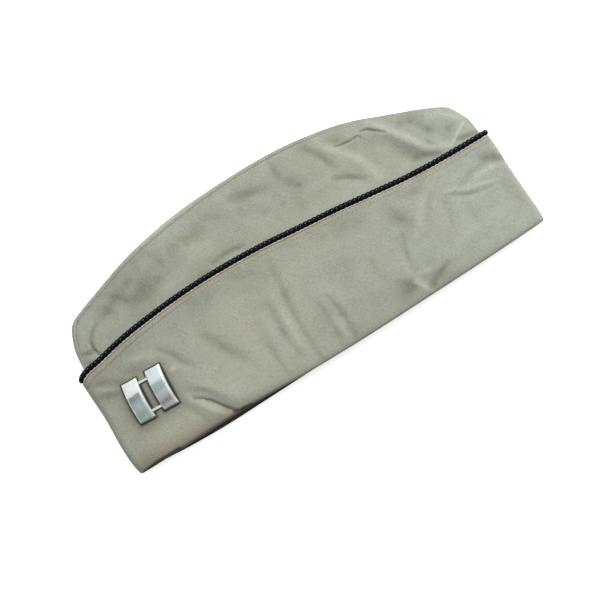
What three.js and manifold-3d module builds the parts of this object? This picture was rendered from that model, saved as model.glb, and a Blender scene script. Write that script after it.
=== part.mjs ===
// Garrison cap lying on its right side: two crown panels with a folded gusset along the top, a turned-up
// curtain in two halves, a corded braid along the curtain's edge, a leather sweatband and a badge of two bars.
// Millimetres. +X runs from the front fold to the rear fold, +Y up the crown, and +Z up from the surface.
import * as THREE from "three";
import { mergeVertices } from "three/addons/utils/BufferGeometryUtils.js";
import Module from "manifold-3d";

const wasm = await Module();
wasm.setup();

// Overall sizes of the cap as it lies
const capLength = 281.6; // front fold to rear fold
const crownHeight = 122.8; // lower edge to the top of the crown
const curtainHeight = 79.6; // lower edge to the middle of the braid where it runs highest
const lieHeight = 15.4; // surface to the top of the crown panel where the cap lies thickest
const edgeBow = 2.8; // rise of the lower edge towards the front
const endEase = 2.6; // lean of the front and rear folds
const foldRadius = 4.6; // rounding of the curtain at the front and rear folds

// Cloth, leather and cord
const panelThickness = 1;
const curtainThickness = 1.2; // doubled cloth
const hemRadius = 1.1; // roll of the curtain under the crown's lower edge
const hemTurn = 0.7; // flat of the hem past the roll
const curtainEase = 0.2; // looseness of the curtain round the crown, over its clearance
const gussetThickness = 0.8;
const gussetDepth = 11;
const gussetEndDepth = 4;
const gussetFold = 1.4; // radius of the gusset's fold
const gussetFrom = 0.045; // share of the crown's upper edge from each end to the gusset
const gussetTaper = 0.16; // share of the upper edge over which the gusset reaches its full depth
const leatherThickness = 1;
const sweatbandHeight = 28;
const sweatbandDrop = 0.1; // lower edge of the curtain to the lower edge of the sweatband
const sweatbandSetBack = 9; // front and rear seams of the crown to the ends of the sweatband
const sweatbandFold = 3; // length over which the sweatband's ends round off
const sweatbandStandOff = 0.5; // how far the leather stands off the cloth, over its clearance
const braidWidth = 3.2;
const braidStandOff = 0.5; // how far the braid lies outside the middle of the curtain's cloth
const liftReach = 11; // width of the band below the braid that the braid lifts off the surface
const settleReach = 16; // width of the band above the braid over which the crown sinks to the surface
const panelStep = 1.1; // how far the lower panel's top edge shows past the upper one's over the front slope
const creaseRise = 1; // rise of the tallest crease
const creaseWidth = 9; // half the width of the broadest crease
const gap = 0.3; // clearance between neighbouring pieces

// Badge of two bars
const barLength = 25.4;
const barWidth = 10;
const barSpace = 5.85; // clear space between the two bars
const barThickness = 1.5;
const barBow = 1.1; // rise of a bar's middle over its ends
const barBevel = 0.5;
const linkWidth = 1.5;
const linkThickness = 1;
const linkRise = 0.45; // back of the badge to the underside of a link
const linkInset = 3.8; // end of a bar to the middle of a link
const badgeAlong = 33; // front fold to the middle of the badge
const badgeUp = 39.2; // lower edge to the middle of the badge
const badgeLean = THREE.MathUtils.degToRad(4); // lean of the bars towards the rear
const postWidth = 1.4;
const postSpacing = 15;
const pinWidth = 1;
const badgeRelief = 17; // radius of the hollow pressed into the crown behind the pin
const badgeFlat = 9.5; // radius of that hollow's flat middle

// Upper edge of the crown from the front seam to the rear seam, as shares of capLength and crownHeight
const crownEdge = [
  { along: 0.025, up: 0.640 },
  { along: 0.026, up: 0.668 },
  { along: 0.030, up: 0.704 },
  { along: 0.040, up: 0.761 },
  { along: 0.050, up: 0.799 },
  { along: 0.0615, up: 0.819 },
  { along: 0.078, up: 0.8355 },
  { along: 0.137, up: 0.8835 },
  { along: 0.220, up: 0.9405 },
  { along: 0.304, up: 0.973 },
  { along: 0.387, up: 0.9935 },
  { along: 0.490, up: 1 },
  { along: 0.596, up: 0.9855 },
  { along: 0.679, up: 0.9585 },
  { along: 0.763, up: 0.912 },
  { along: 0.846, up: 0.834 },
  { along: 0.930, up: 0.749 },
  { along: 0.9525, up: 0.716 },
  { along: 0.963, up: 0.6825 },
  { along: 0.978, up: 0.611 },
];

// Middle line of the braid, as shares of capLength and curtainHeight
const braidLine = [
  { along: 0.003, up: 0.846 },
  { along: 0.014, up: 0.874 },
  { along: 0.031, up: 0.893 },
  { along: 0.057, up: 0.906 },
  { along: 0.099, up: 0.935 },
  { along: 0.140, up: 0.959 },
  { along: 0.200, up: 0.980 },
  { along: 0.264, up: 0.995 },
  { along: 0.326, up: 1 },
  { along: 0.388, up: 0.995 },
  { along: 0.471, up: 0.977 },
  { along: 0.553, up: 0.944 },
  { along: 0.636, up: 0.912 },
  { along: 0.719, up: 0.871 },
  { along: 0.802, up: 0.832 },
  { along: 0.885, up: 0.811 },
  { along: 0.997, up: 0.799 },
];

// Lower edge of each half of the curtain, as shares of capLength and edgeBow. The upper half is drawn back
// towards the front.
const lowerEdge = [
  { along: 0, upper: 1, lower: 1 },
  { along: 0.05, upper: 1, lower: 0.95 },
  { along: 0.12, upper: 1.05, lower: 0.4 },
  { along: 0.20, upper: 1.08, lower: 0.02 },
  { along: 0.32, upper: 0.85, lower: 0.04 },
  { along: 0.42, upper: 0.35, lower: 0.1 },
  { along: 0.55, upper: 0.1, lower: 0 },
  { along: 0.70, upper: 0.15, lower: 0.05 },
  { along: 0.85, upper: 0.3, lower: 0.25 },
  { along: 1, upper: 0.62, lower: 0.62 },
];

// Set-back of the curtain's front and rear folds on the way up, as shares of curtainHeight and endEase
const endLean = [
  { up: 0, front: 0.45, rear: 0.1 },
  { up: 0.08, front: 0.1, rear: 0 },
  { up: 0.3, front: 0, rear: 0.2 },
  { up: 0.6, front: 0.4, rear: 0.45 },
  { up: 0.85, front: 0.3, rear: 0.45 },
  { up: 1, front: 0.3, rear: 0.7 },
];

// Height of the upper panel's outer face at the lower edge, beside the braid and at the top edge, as shares
// of capLength and lieHeight
const bulge = [
  { along: 0, edge: 0.52, braid: 0.53, top: 0.42 },
  { along: 0.06, edge: 0.70, braid: 0.61, top: 0.39 },
  { along: 0.15, edge: 0.90, braid: 0.67, top: 0.37 },
  { along: 0.28, edge: 1, braid: 0.71, top: 0.36 },
  { along: 0.42, edge: 0.93, braid: 0.71, top: 0.36 },
  { along: 0.58, edge: 0.87, braid: 0.68, top: 0.36 },
  { along: 0.78, edge: 0.76, braid: 0.63, top: 0.37 },
  { along: 0.93, edge: 0.64, braid: 0.57, top: 0.39 },
  { along: 1, edge: 0.50, braid: 0.52, top: 0.42 },
];

// Main creases and hollows of the upper side as lines from one place to another, in shares of capLength and
// crownHeight, with the rise as a share of creaseRise and the width as a share of creaseWidth
const creases = [
  { name: "crease across the crown's rear", rise: 0.55, width: 0.5,
    fromAlong: 0.705, fromUp: 0.855, toAlong: 0.770, toUp: 0.800 },
  { name: "hollow below that crease", rise: -0.6, width: 0.6,
    fromAlong: 0.690, fromUp: 0.820, toAlong: 0.765, toUp: 0.765 },
  { name: "crease behind it", rise: 0.5, width: 0.5,
    fromAlong: 0.765, fromUp: 0.850, toAlong: 0.825, toUp: 0.765 },
  { name: "hollow near the rear peak", rise: -0.6, width: 0.9,
    fromAlong: 0.840, fromUp: 0.700, toAlong: 0.900, toUp: 0.760 },
  { name: "ridge at the rear peak", rise: 0.5, width: 0.6,
    fromAlong: 0.910, fromUp: 0.560, toAlong: 0.955, toUp: 0.620 },
  { name: "soft hollow over the rear of the crown", rise: -0.7, width: 1,
    fromAlong: 0.600, fromUp: 0.700, toAlong: 0.720, toUp: 0.660 },
  { name: "ridge down the middle of the crown", rise: 0.5, width: 1,
    fromAlong: 0.520, fromUp: 0.930, toAlong: 0.470, toUp: 0.700 },
  { name: "hollow ahead of the middle", rise: -0.5, width: 1,
    fromAlong: 0.380, fromUp: 0.930, toAlong: 0.330, toUp: 0.730 },
  { name: "ridge on the front slope", rise: 0.5, width: 1,
    fromAlong: 0.240, fromUp: 0.880, toAlong: 0.180, toUp: 0.690 },
  { name: "hollow on the front lobe", rise: -0.5, width: 0.8,
    fromAlong: 0.130, fromUp: 0.820, toAlong: 0.100, toUp: 0.680 },
  { name: "fold of the lobe along its seam", rise: -0.5, width: 0.4,
    fromAlong: 0.066, fromUp: 0.730, toAlong: 0.064, toUp: 0.610 },
  { name: "crease rising from the lower edge", rise: -0.8, width: 0.5,
    fromAlong: 0.180, fromUp: 0.230, toAlong: 0.262, toUp: 0.020 },
  { name: "ridge beside that crease", rise: 0.8, width: 0.7,
    fromAlong: 0.200, fromUp: 0.260, toAlong: 0.290, toUp: 0.060 },
  { name: "dent above the lower edge", rise: -0.6, width: 0.8,
    fromAlong: 0.285, fromUp: 0.330, toAlong: 0.320, toUp: 0.220 },
  { name: "upright fold ahead of the middle", rise: 0.6, width: 0.6,
    fromAlong: 0.408, fromUp: 0.260, toAlong: 0.412, toUp: 0.040 },
  { name: "soft hollow beside the badge", rise: -0.5, width: 0.7,
    fromAlong: 0.045, fromUp: 0.440, toAlong: 0.050, toUp: 0.200 },
  { name: "long hollow along the curtain", rise: -0.6, width: 1,
    fromAlong: 0.460, fromUp: 0.330, toAlong: 0.640, toUp: 0.300 },
  { name: "fold at the rear of the lower edge", rise: 0.6, width: 0.6,
    fromAlong: 0.684, fromUp: 0.170, toAlong: 0.680, toUp: 0.020 },
  { name: "small fold behind it", rise: -0.6, width: 0.6,
    fromAlong: 0.745, fromUp: 0.140, toAlong: 0.740, toUp: 0.020 },
  { name: "ridge across the rear of the curtain", rise: 0.7, width: 0.8,
    fromAlong: 0.850, fromUp: 0.395, toAlong: 0.940, toUp: 0.300 },
];

// Colours and finish
const khaki = { color: 0xa5a898, roughness: 0.95, metalness: 0 };
const leatherBrown = { color: 0x3a2b20, roughness: 0.7, metalness: 0 };
const braidBlack = { color: 0x14161c, roughness: 0.8, metalness: 0 };
const wornSilver = { color: 0xb4b6b2, roughness: 0.35, metalness: 1 };

// Value of a table's column at a place, along smooth curves through the rows
function readTable(table, key, column, place) {
  const last = table.length - 1;
  if (place <= table[0][key]) return table[0][column];
  if (place >= table[last][key]) return table[last][column];
  let row = 0;
  while (place > table[row + 1][key]) row += 1;
  const step = (index) =>
    (table[index + 1][column] - table[index][column]) / (table[index + 1][key] - table[index][key]);
  const slope = (index) => {
    if (index === 0) return step(0);
    if (index === last) return step(last - 1);
    return (step(index - 1) + step(index)) / 2;
  };
  const span = table[row + 1][key] - table[row][key];
  const t = (place - table[row][key]) / span;
  return (
    table[row][column] * (1 + 2 * t) * (1 - t) ** 2 +
    slope(row) * span * t * (1 - t) ** 2 +
    table[row + 1][column] * t * t * (3 - 2 * t) +
    slope(row + 1) * span * t * t * (t - 1)
  );
}

const lerp = THREE.MathUtils.lerp;
const smoothstep = THREE.MathUtils.smoothstep;

// Heights up the crown of the lower edge and of the braid's middle line
function lowerEdgeUp(side, along) {
  return edgeBow * readTable(lowerEdge, "along", side > 0 ? "upper" : "lower", along / capLength);
}
function braidUp(along) {
  return curtainHeight * readTable(braidLine, "along", "up", along / capLength);
}

// Share of the braid's lift at a place: 1 beside the braid, 0 away from it
function besideBraid(along, up) {
  const below = braidUp(along) - up;
  return 1 - (below > 0 ? smoothstep(below, 0, liftReach) : smoothstep(-below, 0, settleReach));
}

// Rise of the creases at a place
function creaseAt(along, up) {
  const place = new THREE.Vector2(along, up);
  let rise = 0;
  for (const crease of creases) {
    const from = new THREE.Vector2(crease.fromAlong * capLength, crease.fromUp * crownHeight);
    const line = new THREE.Vector2(crease.toAlong * capLength, crease.toUp * crownHeight).sub(from);
    const share = place.clone().sub(from).dot(line) / line.lengthSq();
    const nearest = from.clone().addScaledVector(line, THREE.MathUtils.clamp(share, 0, 1));
    const away = nearest.distanceTo(place) / (crease.width * creaseWidth);
    const towardsEnd = Math.abs(2 * THREE.MathUtils.clamp(share, 0, 1) - 1);
    rise += crease.rise * creaseRise * (1 - towardsEnd / 2) * Math.exp(-away * away);
  }
  return rise;
}

// Hollow that the pin presses into the crown behind the badge
const pinRoom = pinWidth + gap;
function badgeHollow(along, up) {
  const away = Math.hypot(along - badgeAlong, up - badgeUp);
  return pinRoom * (1 - smoothstep(away, badgeFlat, badgeRelief));
}

// Outer faces of the crown: the upper panel's, and the lower panel's that lies on the braid and on the
// surface. The level runs from 0 at the lower edge over 1 at the braid to 2 at the top edge.
const braidEase = braidWidth / 2 - curtainThickness / 2 - braidStandOff - curtainEase;
function upperFace(along, up, panelLevel) {
  const share = along / capLength;
  const bandLevel = Math.min(1, up / braidUp(along));
  const level = bandLevel < 1 ? bandLevel : Math.max(1, panelLevel);
  const edge = readTable(bulge, "along", "edge", share);
  const braid = readTable(bulge, "along", "braid", share);
  const top = readTable(bulge, "along", "top", share);
  const height = level < 1 ? lerp(edge, braid, level) : lerp(braid, top, level - 1);
  return height * lieHeight + creaseAt(along, up);
}
function lowerFace(along, up) {
  const onCurtain = curtainThickness + gap + curtainEase;
  const onBraid = braidWidth + gap;
  const lift = besideBraid(along, up);
  return up < braidUp(along) ? lerp(onCurtain, onBraid, lift) : onBraid * lift;
}

// Point of a layer that lies so far outside the crown's outer faces. The turn closes both sides to a fold
// at the front and rear: a quarter turn is fully open, and 0 is the seam, where the halves keep a clearance.
function layerPoint(side, along, up, level, outward, turn, seamGap = gap) {
  const upper = upperFace(along, up, level) + outward;
  const lower = lowerFace(along, up) - outward;
  const seam = (upper + lower) / 2 + (side * seamGap) / 2;
  const own = side > 0 ? upper : lower;
  return new THREE.Vector3(along, up, seam + (own - seam) * Math.sin(turn));
}

// Columns of a half from the front fold to the rear fold: each has its share of the length between the ends
// and the turn of the fold's rounding there
function columns(length, radius, count, roundSteps = 4) {
  const list = [];
  for (let step = 0; step < roundSteps; step += 1) {
    const turn = (step / roundSteps) * (Math.PI / 2);
    list.push({ share: (radius * (1 - Math.cos(turn))) / length, turn });
  }
  const rear = list.map(({ share, turn }) => ({ share: 1 - share, turn })).reverse();
  for (let step = 0; step <= count; step += 1) {
    list.push({ share: lerp(radius / length, 1 - radius / length, step / count), turn: Math.PI / 2 });
  }
  return list.concat(rear);
}

// Closed body of even thickness on both sides of a grid of points. A closed grid's last column meets its
// first.
function sheet(grid, thickness, closed = false) {
  const count = grid.length;
  const rows = grid[0].length;
  const at = (i, j) => grid[closed ? (i + count) % count : THREE.MathUtils.clamp(i, 0, count - 1)][
    THREE.MathUtils.clamp(j, 0, rows - 1)
  ];
  const positions = [];
  for (const face of [0.5, -0.5]) {
    for (let i = 0; i < count; i += 1) {
      for (let j = 0; j < rows; j += 1) {
        const across = at(i + 1, j).clone().sub(at(i - 1, j));
        const upward = at(i, j + 1).clone().sub(at(i, j - 1));
        const normal = across.cross(upward).normalize();
        const point = grid[i][j].clone().addScaledVector(normal, face * thickness);
        positions.push(point.x, point.y, point.z);
      }
    }
  }
  const vertex = (face, i, j) => face * count * rows + (i % count) * rows + j;
  const triangles = [];
  const quad = (a, b, c, d) => triangles.push(a, b, c, a, c, d);
  const spans = closed ? count : count - 1;
  for (let i = 0; i < spans; i += 1) {
    for (let j = 0; j < rows - 1; j += 1) {
      quad(vertex(0, i, j), vertex(0, i + 1, j), vertex(0, i + 1, j + 1), vertex(0, i, j + 1));
      quad(vertex(1, i, j), vertex(1, i, j + 1), vertex(1, i + 1, j + 1), vertex(1, i + 1, j));
    }
    quad(vertex(0, i, 0), vertex(1, i, 0), vertex(1, i + 1, 0), vertex(0, i + 1, 0));
    const top = rows - 1;
    quad(vertex(0, i, top), vertex(0, i + 1, top), vertex(1, i + 1, top), vertex(1, i, top));
  }
  for (let j = 0; j < rows - 1 && !closed; j += 1) {
    const end = count - 1;
    quad(vertex(0, 0, j), vertex(0, 0, j + 1), vertex(1, 0, j + 1), vertex(1, 0, j));
    quad(vertex(0, end, j), vertex(1, end, j), vertex(1, end, j + 1), vertex(0, end, j + 1));
  }
  const geometry = new THREE.BufferGeometry();
  geometry.setAttribute("position", new THREE.Float32BufferAttribute(positions, 3));
  geometry.setIndex(triangles);
  return facingOut(geometry);
}

// The same body with its faces turned outward, judged by the sign of its volume
function facingOut(geometry) {
  const position = geometry.attributes.position;
  const index = geometry.index.array;
  const [a, b, c] = [new THREE.Vector3(), new THREE.Vector3(), new THREE.Vector3()];
  let volume = 0;
  for (let i = 0; i < index.length; i += 3) {
    a.fromBufferAttribute(position, index[i]);
    b.fromBufferAttribute(position, index[i + 1]);
    c.fromBufferAttribute(position, index[i + 2]);
    volume += a.dot(b.cross(c));
  }
  if (volume < 0) {
    for (let i = 0; i < index.length; i += 3) [index[i], index[i + 1]] = [index[i + 1], index[i]];
  }
  return geometry;
}

// Boolean solids
function toSolid(geometry) {
  let source = geometry.clone();
  source.deleteAttribute("normal");
  source.deleteAttribute("uv");
  source = mergeVertices(source, 1e-4);
  return new wasm.Manifold(
    new wasm.Mesh({
      numProp: 3,
      vertProperties: new Float32Array(source.attributes.position.array),
      triVerts: new Uint32Array(source.index.array),
    }),
  );
}
function toGeometry(solid) {
  const mesh = solid.getMesh();
  const geometry = new THREE.BufferGeometry();
  geometry.setAttribute("position", new THREE.BufferAttribute(new Float32Array(mesh.vertProperties), 3));
  geometry.setIndex(new THREE.BufferAttribute(new Uint32Array(mesh.triVerts), 1));
  return geometry;
}

// Step between the two panels' top edges along the crown's upper edge, as shares of it and of panelStep
const panelSteps = [
  { share: 0.05, step: 0 },
  { share: 0.2, step: 1 },
  { share: 0.4, step: 1 },
  { share: 0.6, step: 0 },
];
const braidCrossing = 0.7; // share of a panel column's sideways run that lies below the braid

// Rows of a crown panel: its levels from the lower edge over the braid to the top edge
const panelLevels = [0, 0.2, 0.45, 0.7, 0.88, 1, 1.12, 1.3, 1.5, 1.7, 1.86, 2];
const crownCurve = new THREE.CatmullRomCurve3(
  crownEdge.map(({ along, up }) => new THREE.Vector3(along * capLength, up * crownHeight, 0)),
  false,
  "centripetal",
);
crownCurve.arcLengthDivisions = 600;
const crownInset = curtainThickness + gap + panelThickness / 2;

// Place on a crown panel by its share of the length and its level, before the height is known
function panelPlace(side, share, level) {
  const frontSeam = crownInset + endEase * endLean[0].front;
  const rearSeam = capLength - crownInset - endEase * endLean[0].rear;
  const bottomAlong = lerp(frontSeam, rearSeam, share);
  const bottomUp = lowerEdgeUp(side, bottomAlong) + curtainThickness + gap;
  const top = crownCurve.getPointAt(share);
  const topUp = top.y - (side > 0 ? panelStep * readTable(panelSteps, "share", "step", share) : 0);
  const crossAlong = lerp(bottomAlong, top.x, braidCrossing);
  const cross = (braidUp(crossAlong) - bottomUp) / (topUp - bottomUp);
  const reach = level < 1 ? lerp(0, cross, level) : lerp(cross, 1, level - 1);
  return { along: lerp(bottomAlong, top.x, reach), up: lerp(bottomUp, topUp, reach) };
}
function panelPoint(side, share, level, inward, turn, seamGap) {
  const { along, up } = panelPlace(side, share, level);
  const relief = side > 0 ? badgeHollow(along, up) : 0;
  const point = layerPoint(side, along, up, level, -inward, turn, seamGap);
  point.z -= relief * Math.sin(turn);
  return point;
}
function crownPanel(side) {
  const grid = columns(capLength, foldRadius - crownInset, 30).map(({ share, turn }) =>
    panelLevels.map((level) => panelPoint(side, share, level, panelThickness / 2, turn)),
  );
  return sheet(grid, panelThickness);
}

// Gusset: a strip folded in between the panels, deepest at the middle of the crown
function crownGusset() {
  const grid = [];
  const steps = 30;
  const inward = panelThickness + gap + gussetThickness / 2;
  for (let step = 0; step <= steps; step += 1) {
    const share = lerp(gussetFrom, 1 - gussetFrom, step / steps);
    const fromEnd = Math.min(share, 1 - share) - gussetFrom;
    const depth = lerp(gussetEndDepth, gussetDepth, smoothstep(fromEnd, 0, gussetTaper));
    const leg = (side, distance) => {
      const top = panelPlace(side, share, 2);
      const braid = panelPlace(side, share, 1);
      const length = Math.hypot(top.along - braid.along, top.up - braid.up);
      return panelPoint(side, share, 2 - distance / length, inward, Math.PI / 2);
    };
    const row = [];
    const straight = depth - gussetFold;
    for (const side of [1, -1]) {
      const part = [gap, straight / 2, straight].map((distance) => leg(side, distance));
      const other = leg(-side, straight);
      for (const turn of [Math.PI / 4, Math.PI / 2]) {
        const at = leg(side, straight + gussetFold * Math.sin(turn));
        const middle = (part[2].z + other.z) / 2;
        part.push(new THREE.Vector3(at.x, at.y, middle + (part[2].z - middle) * Math.cos(turn)));
      }
      row.push(side > 0 ? part : part.slice(0, 4).reverse());
    }
    grid.push(row.flat());
  }
  return sheet(grid, gussetThickness);
}

// Curtain: one half of the turned-up band, with its hem rolled in below
const curtainRows = [0, 0.04, 0.2, 0.42, 0.62, 0.8, 0.91, 1];
function curtainPoint(side, share, rowShare, hemAngle, turn) {
  const inset = curtainThickness / 2;
  const roll = hemRadius * (1 - Math.cos(hemAngle));
  const upShare = rowShare;
  const frontIn = inset + endEase * readTable(endLean, "up", "front", upShare) + roll;
  const rearIn = inset + endEase * readTable(endLean, "up", "rear", upShare) + roll;
  const along = lerp(frontIn, capLength - rearIn, share);
  const bottom = lowerEdgeUp(side, along) + inset + hemRadius;
  const braidSlope = (braidUp(along + 1) - braidUp(along - 1)) / 2;
  const top = braidUp(along) - (braidWidth / 2 + gap) * Math.hypot(1, braidSlope);
  const up = lerp(bottom, top, rowShare) - hemRadius * Math.sin(hemAngle);
  const outward = gap + curtainEase + inset + braidEase * besideBraid(along, up) - roll;
  return layerPoint(side, along, up, 1, outward, turn);
}
function curtainHalf(side) {
  const grid = columns(capLength, foldRadius - curtainThickness / 2, 30).map(({ share, turn }) => {
    const flat = curtainPoint(side, share, 0, Math.PI / 2, turn);
    const past = curtainPoint(side, share, 0, 0, turn);
    const inward = new THREE.Vector3(flat.x - past.x, 0, flat.z - past.z).setLength(hemTurn);
    return [
      flat.clone().add(inward),
      flat,
      curtainPoint(side, share, 0, Math.PI / 4, turn),
      ...curtainRows.map((rowShare) => curtainPoint(side, share, rowShare, 0, turn)),
    ];
  });
  return sheet(grid, curtainThickness);
}

// Sweatband: one loop of leather inside the crown's lower edge
function sweatband() {
  const inward = panelThickness + gap + sweatbandStandOff + leatherThickness / 2;
  const half = columns(capLength - 2 * sweatbandSetBack, sweatbandFold, 26, 3);
  const loop = (side) =>
    half.map(({ share, turn }) =>
      [0, 0.33, 0.67, 1].map((rowShare) => {
        const place = lerp(sweatbandSetBack / capLength, 1 - sweatbandSetBack / capLength, share);
        const bottom = panelPlace(side, place, 0);
        const braid = panelPlace(side, place, 1);
        const up = sweatbandDrop - curtainThickness - gap + rowShare * sweatbandHeight;
        const level = up / (braid.up - bottom.up);
        return panelPoint(side, place, level, inward, turn, 0);
      }),
    );
  const upper = loop(1);
  const lower = loop(-1).reverse();
  return sheet(upper.concat(lower.slice(1, -1)), leatherThickness, true);
}

// Braid: a round cord along the curtain's upper edge, round both sides in one loop
function braid() {
  const half = columns(capLength, foldRadius - curtainThickness / 2, 38);
  const path = (side) =>
    half.map(({ share, turn }) => {
      const along = curtainPoint(side, share, 1, 0, turn).x;
      return layerPoint(side, along, braidUp(along), 1, gap + braidWidth / 2, turn, 0);
    });
  const points = path(1).concat(path(-1).reverse().slice(1, -1));
  const sides = 8;
  const ring = (i) => {
    const before = points[(i + points.length - 1) % points.length];
    const after = points[(i + 1) % points.length];
    const forward = after.clone().sub(before).normalize();
    const upward = new THREE.Vector3(0, 1, 0).addScaledVector(forward, -forward.y).normalize();
    const outward = upward.clone().cross(forward);
    const corners = [];
    for (let corner = 0; corner < sides; corner += 1) {
      const angle = ((corner + 0.5) / sides) * 2 * Math.PI;
      corners.push(
        points[i]
          .clone()
          .addScaledVector(upward, (braidWidth / 2) * Math.cos(angle))
          .addScaledVector(outward, (braidWidth / 2) * Math.sin(angle)),
      );
    }
    return corners;
  };
  const rings = points.map((point, i) => ring(i));
  const positions = rings.flat().flatMap(({ x, y, z }) => [x, y, z]);
  const triangles = [];
  for (let i = 0; i < rings.length; i += 1) {
    const next = (i + 1) % rings.length;
    for (let corner = 0; corner < sides; corner += 1) {
      const other = (corner + 1) % sides;
      const [a, b] = [i * sides + corner, i * sides + other];
      const [c, d] = [next * sides + other, next * sides + corner];
      triangles.push(a, b, c, a, c, d);
    }
  }
  const geometry = new THREE.BufferGeometry();
  geometry.setAttribute("position", new THREE.Float32BufferAttribute(positions, 3));
  geometry.setIndex(triangles);
  return facingOut(geometry);
}

// Plane that the badge lies on: just clear of the curtain's outer face and square to the cloth there
function curtainFace(along, up) {
  return upperFace(along, up, 1) + gap + curtainEase + curtainThickness;
}
function badgePlane() {
  const reach = barSpace / 2 + barWidth / 2;
  const face = (across, upward) => curtainFace(badgeAlong + across, badgeUp + upward);
  const slopeAlong = (face(reach, 0) - face(-reach, 0)) / (2 * reach);
  const slopeUp = (face(0, reach) - face(0, -reach)) / (2 * reach);
  const middle = face(0, 0);
  let clear = 0;
  const samples = 8;
  for (let column = 0; column <= samples; column += 1) {
    for (let row = 0; row <= samples; row += 1) {
      const across = lerp(-1, 1, column / samples) * (barSpace / 2 + barWidth);
      const upward = (lerp(-1, 1, row / samples) * barLength) / 2;
      const flat = middle + slopeAlong * across + slopeUp * upward;
      clear = Math.max(clear, face(across, upward) - flat);
    }
  }
  return new THREE.Matrix4()
    .makeTranslation(badgeAlong, badgeUp, middle + clear + gap)
    .multiply(new THREE.Matrix4().makeRotationY(-Math.atan(slopeAlong)))
    .multiply(new THREE.Matrix4().makeRotationX(Math.atan(slopeUp)))
    .multiply(new THREE.Matrix4().makeRotationZ(-badgeLean));
}

// One bar, bowed along its length, with its back on the plane at its ends
function bar(across) {
  const half = barLength / 2;
  const radius = (half * half + barBow * barBow) / (2 * barBow);
  const spread = Math.asin(half / radius);
  const profile = new THREE.Shape();
  const [from, to] = [Math.PI / 2 - spread, Math.PI / 2 + spread];
  profile.absarc(0, barBow - radius + barThickness - barBevel, radius, from, to, false);
  profile.absarc(0, barBow - radius + barBevel, radius, to, from, true);
  profile.closePath();
  const geometry = new THREE.ExtrudeGeometry(profile, {
    depth: barWidth - 2 * barBevel,
    bevelEnabled: true,
    bevelSize: barBevel,
    bevelThickness: barBevel,
    bevelSegments: 1,
    curveSegments: 8,
  });
  geometry.translate(0, 0, barBevel - barWidth / 2);
  geometry.rotateX(Math.PI / 2);
  geometry.rotateZ(Math.PI / 2);
  geometry.translate(across, 0, 0);
  return toSolid(geometry);
}
function rankBars() {
  const acrossMiddle = barSpace / 2 + barWidth / 2;
  let solid = bar(-acrossMiddle).add(bar(acrossMiddle));
  const linkUp = barLength / 2 - linkInset;
  for (const up of [-linkUp, linkUp]) {
    const link = new THREE.BoxGeometry(barSpace + barWidth, linkWidth, linkThickness);
    link.translate(0, up, linkRise + linkThickness / 2);
    solid = solid.add(toSolid(link));
  }
  const pinUp = -(2 * gap + curtainThickness + pinWidth / 2);
  for (const across of [-postSpacing / 2, postSpacing / 2]) {
    const top = barBow + barThickness / 2;
    const post = new THREE.CylinderGeometry(postWidth / 2, postWidth / 2, top - pinUp, 12);
    post.rotateX(Math.PI / 2);
    post.translate(across, 0, (top + pinUp) / 2);
    solid = solid.add(toSolid(post));
  }
  const pin = new THREE.CylinderGeometry(pinWidth / 2, pinWidth / 2, postSpacing, 12);
  pin.rotateZ(Math.PI / 2);
  pin.translate(0, 0, pinUp);
  return toGeometry(solid.add(toSolid(pin))).applyMatrix4(badgePlane());
}

// Upper half of the curtain with the two holes that the badge's posts pass through
function curtainWithHoles() {
  let solid = toSolid(curtainHalf(1));
  for (const across of [-postSpacing / 2, postSpacing / 2]) {
    const holeRadius = postWidth / 2 + gap;
    const hole = new THREE.CylinderGeometry(holeRadius, holeRadius, 6 * curtainThickness, 12);
    hole.rotateX(Math.PI / 2);
    hole.translate(across, 0, 0);
    hole.applyMatrix4(badgePlane());
    solid = solid.subtract(toSolid(hole));
  }
  return toGeometry(solid);
}

const group = new THREE.Group();
group.position.set(-capLength / 2, -crownHeight / 2, 0);

function addPiece(name, geometry, look) {
  const piece = new THREE.Mesh(geometry, new THREE.MeshStandardMaterial(look));
  piece.name = name;
  group.add(piece);
}

addPiece("crown_left", crownPanel(1), khaki);
addPiece("crown_right", crownPanel(-1), khaki);
addPiece("crown_gusset", crownGusset(), khaki);
addPiece("curtain_left", curtainWithHoles(), khaki);
addPiece("curtain_right", curtainHalf(-1), khaki);
addPiece("sweatband", sweatband(), leatherBrown);
addPiece("braid", braid(), braidBlack);
addPiece("rank_bars", rankBars(), wornSilver);

export default group;
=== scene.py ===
import math

import bpy
import numpy as np
from mathutils import Matrix


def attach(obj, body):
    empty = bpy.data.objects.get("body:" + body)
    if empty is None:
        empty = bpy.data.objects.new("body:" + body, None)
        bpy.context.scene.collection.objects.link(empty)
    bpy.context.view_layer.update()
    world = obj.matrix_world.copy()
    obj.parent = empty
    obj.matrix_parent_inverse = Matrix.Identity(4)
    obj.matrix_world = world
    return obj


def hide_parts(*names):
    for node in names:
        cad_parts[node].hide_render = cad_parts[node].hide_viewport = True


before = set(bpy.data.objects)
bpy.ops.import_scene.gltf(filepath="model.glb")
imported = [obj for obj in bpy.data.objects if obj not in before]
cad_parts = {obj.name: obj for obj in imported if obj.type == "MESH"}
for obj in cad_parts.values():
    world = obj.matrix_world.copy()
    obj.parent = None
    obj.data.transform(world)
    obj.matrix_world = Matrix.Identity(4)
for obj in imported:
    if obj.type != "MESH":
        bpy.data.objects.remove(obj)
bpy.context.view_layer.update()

# Crown panels: the two side panels of the crown, one layer of washed khaki cotton twill each, sewn
# together at front and rear and lying one on the other. They bulge over what lies inside, sink behind
# the cord and carry the creases of storage.
CAP_LENGTH = 281.6
CROWN_HEIGHT = 122.8
CURTAIN_HEIGHT = 79.6
LIE_HEIGHT = 15.4
EDGE_BOW = 2.8
END_EASE = 2.6
FOLD_RADIUS = 4.6
PANEL_THICKNESS = 1.0
CURTAIN_THICKNESS = 1.2
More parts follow.
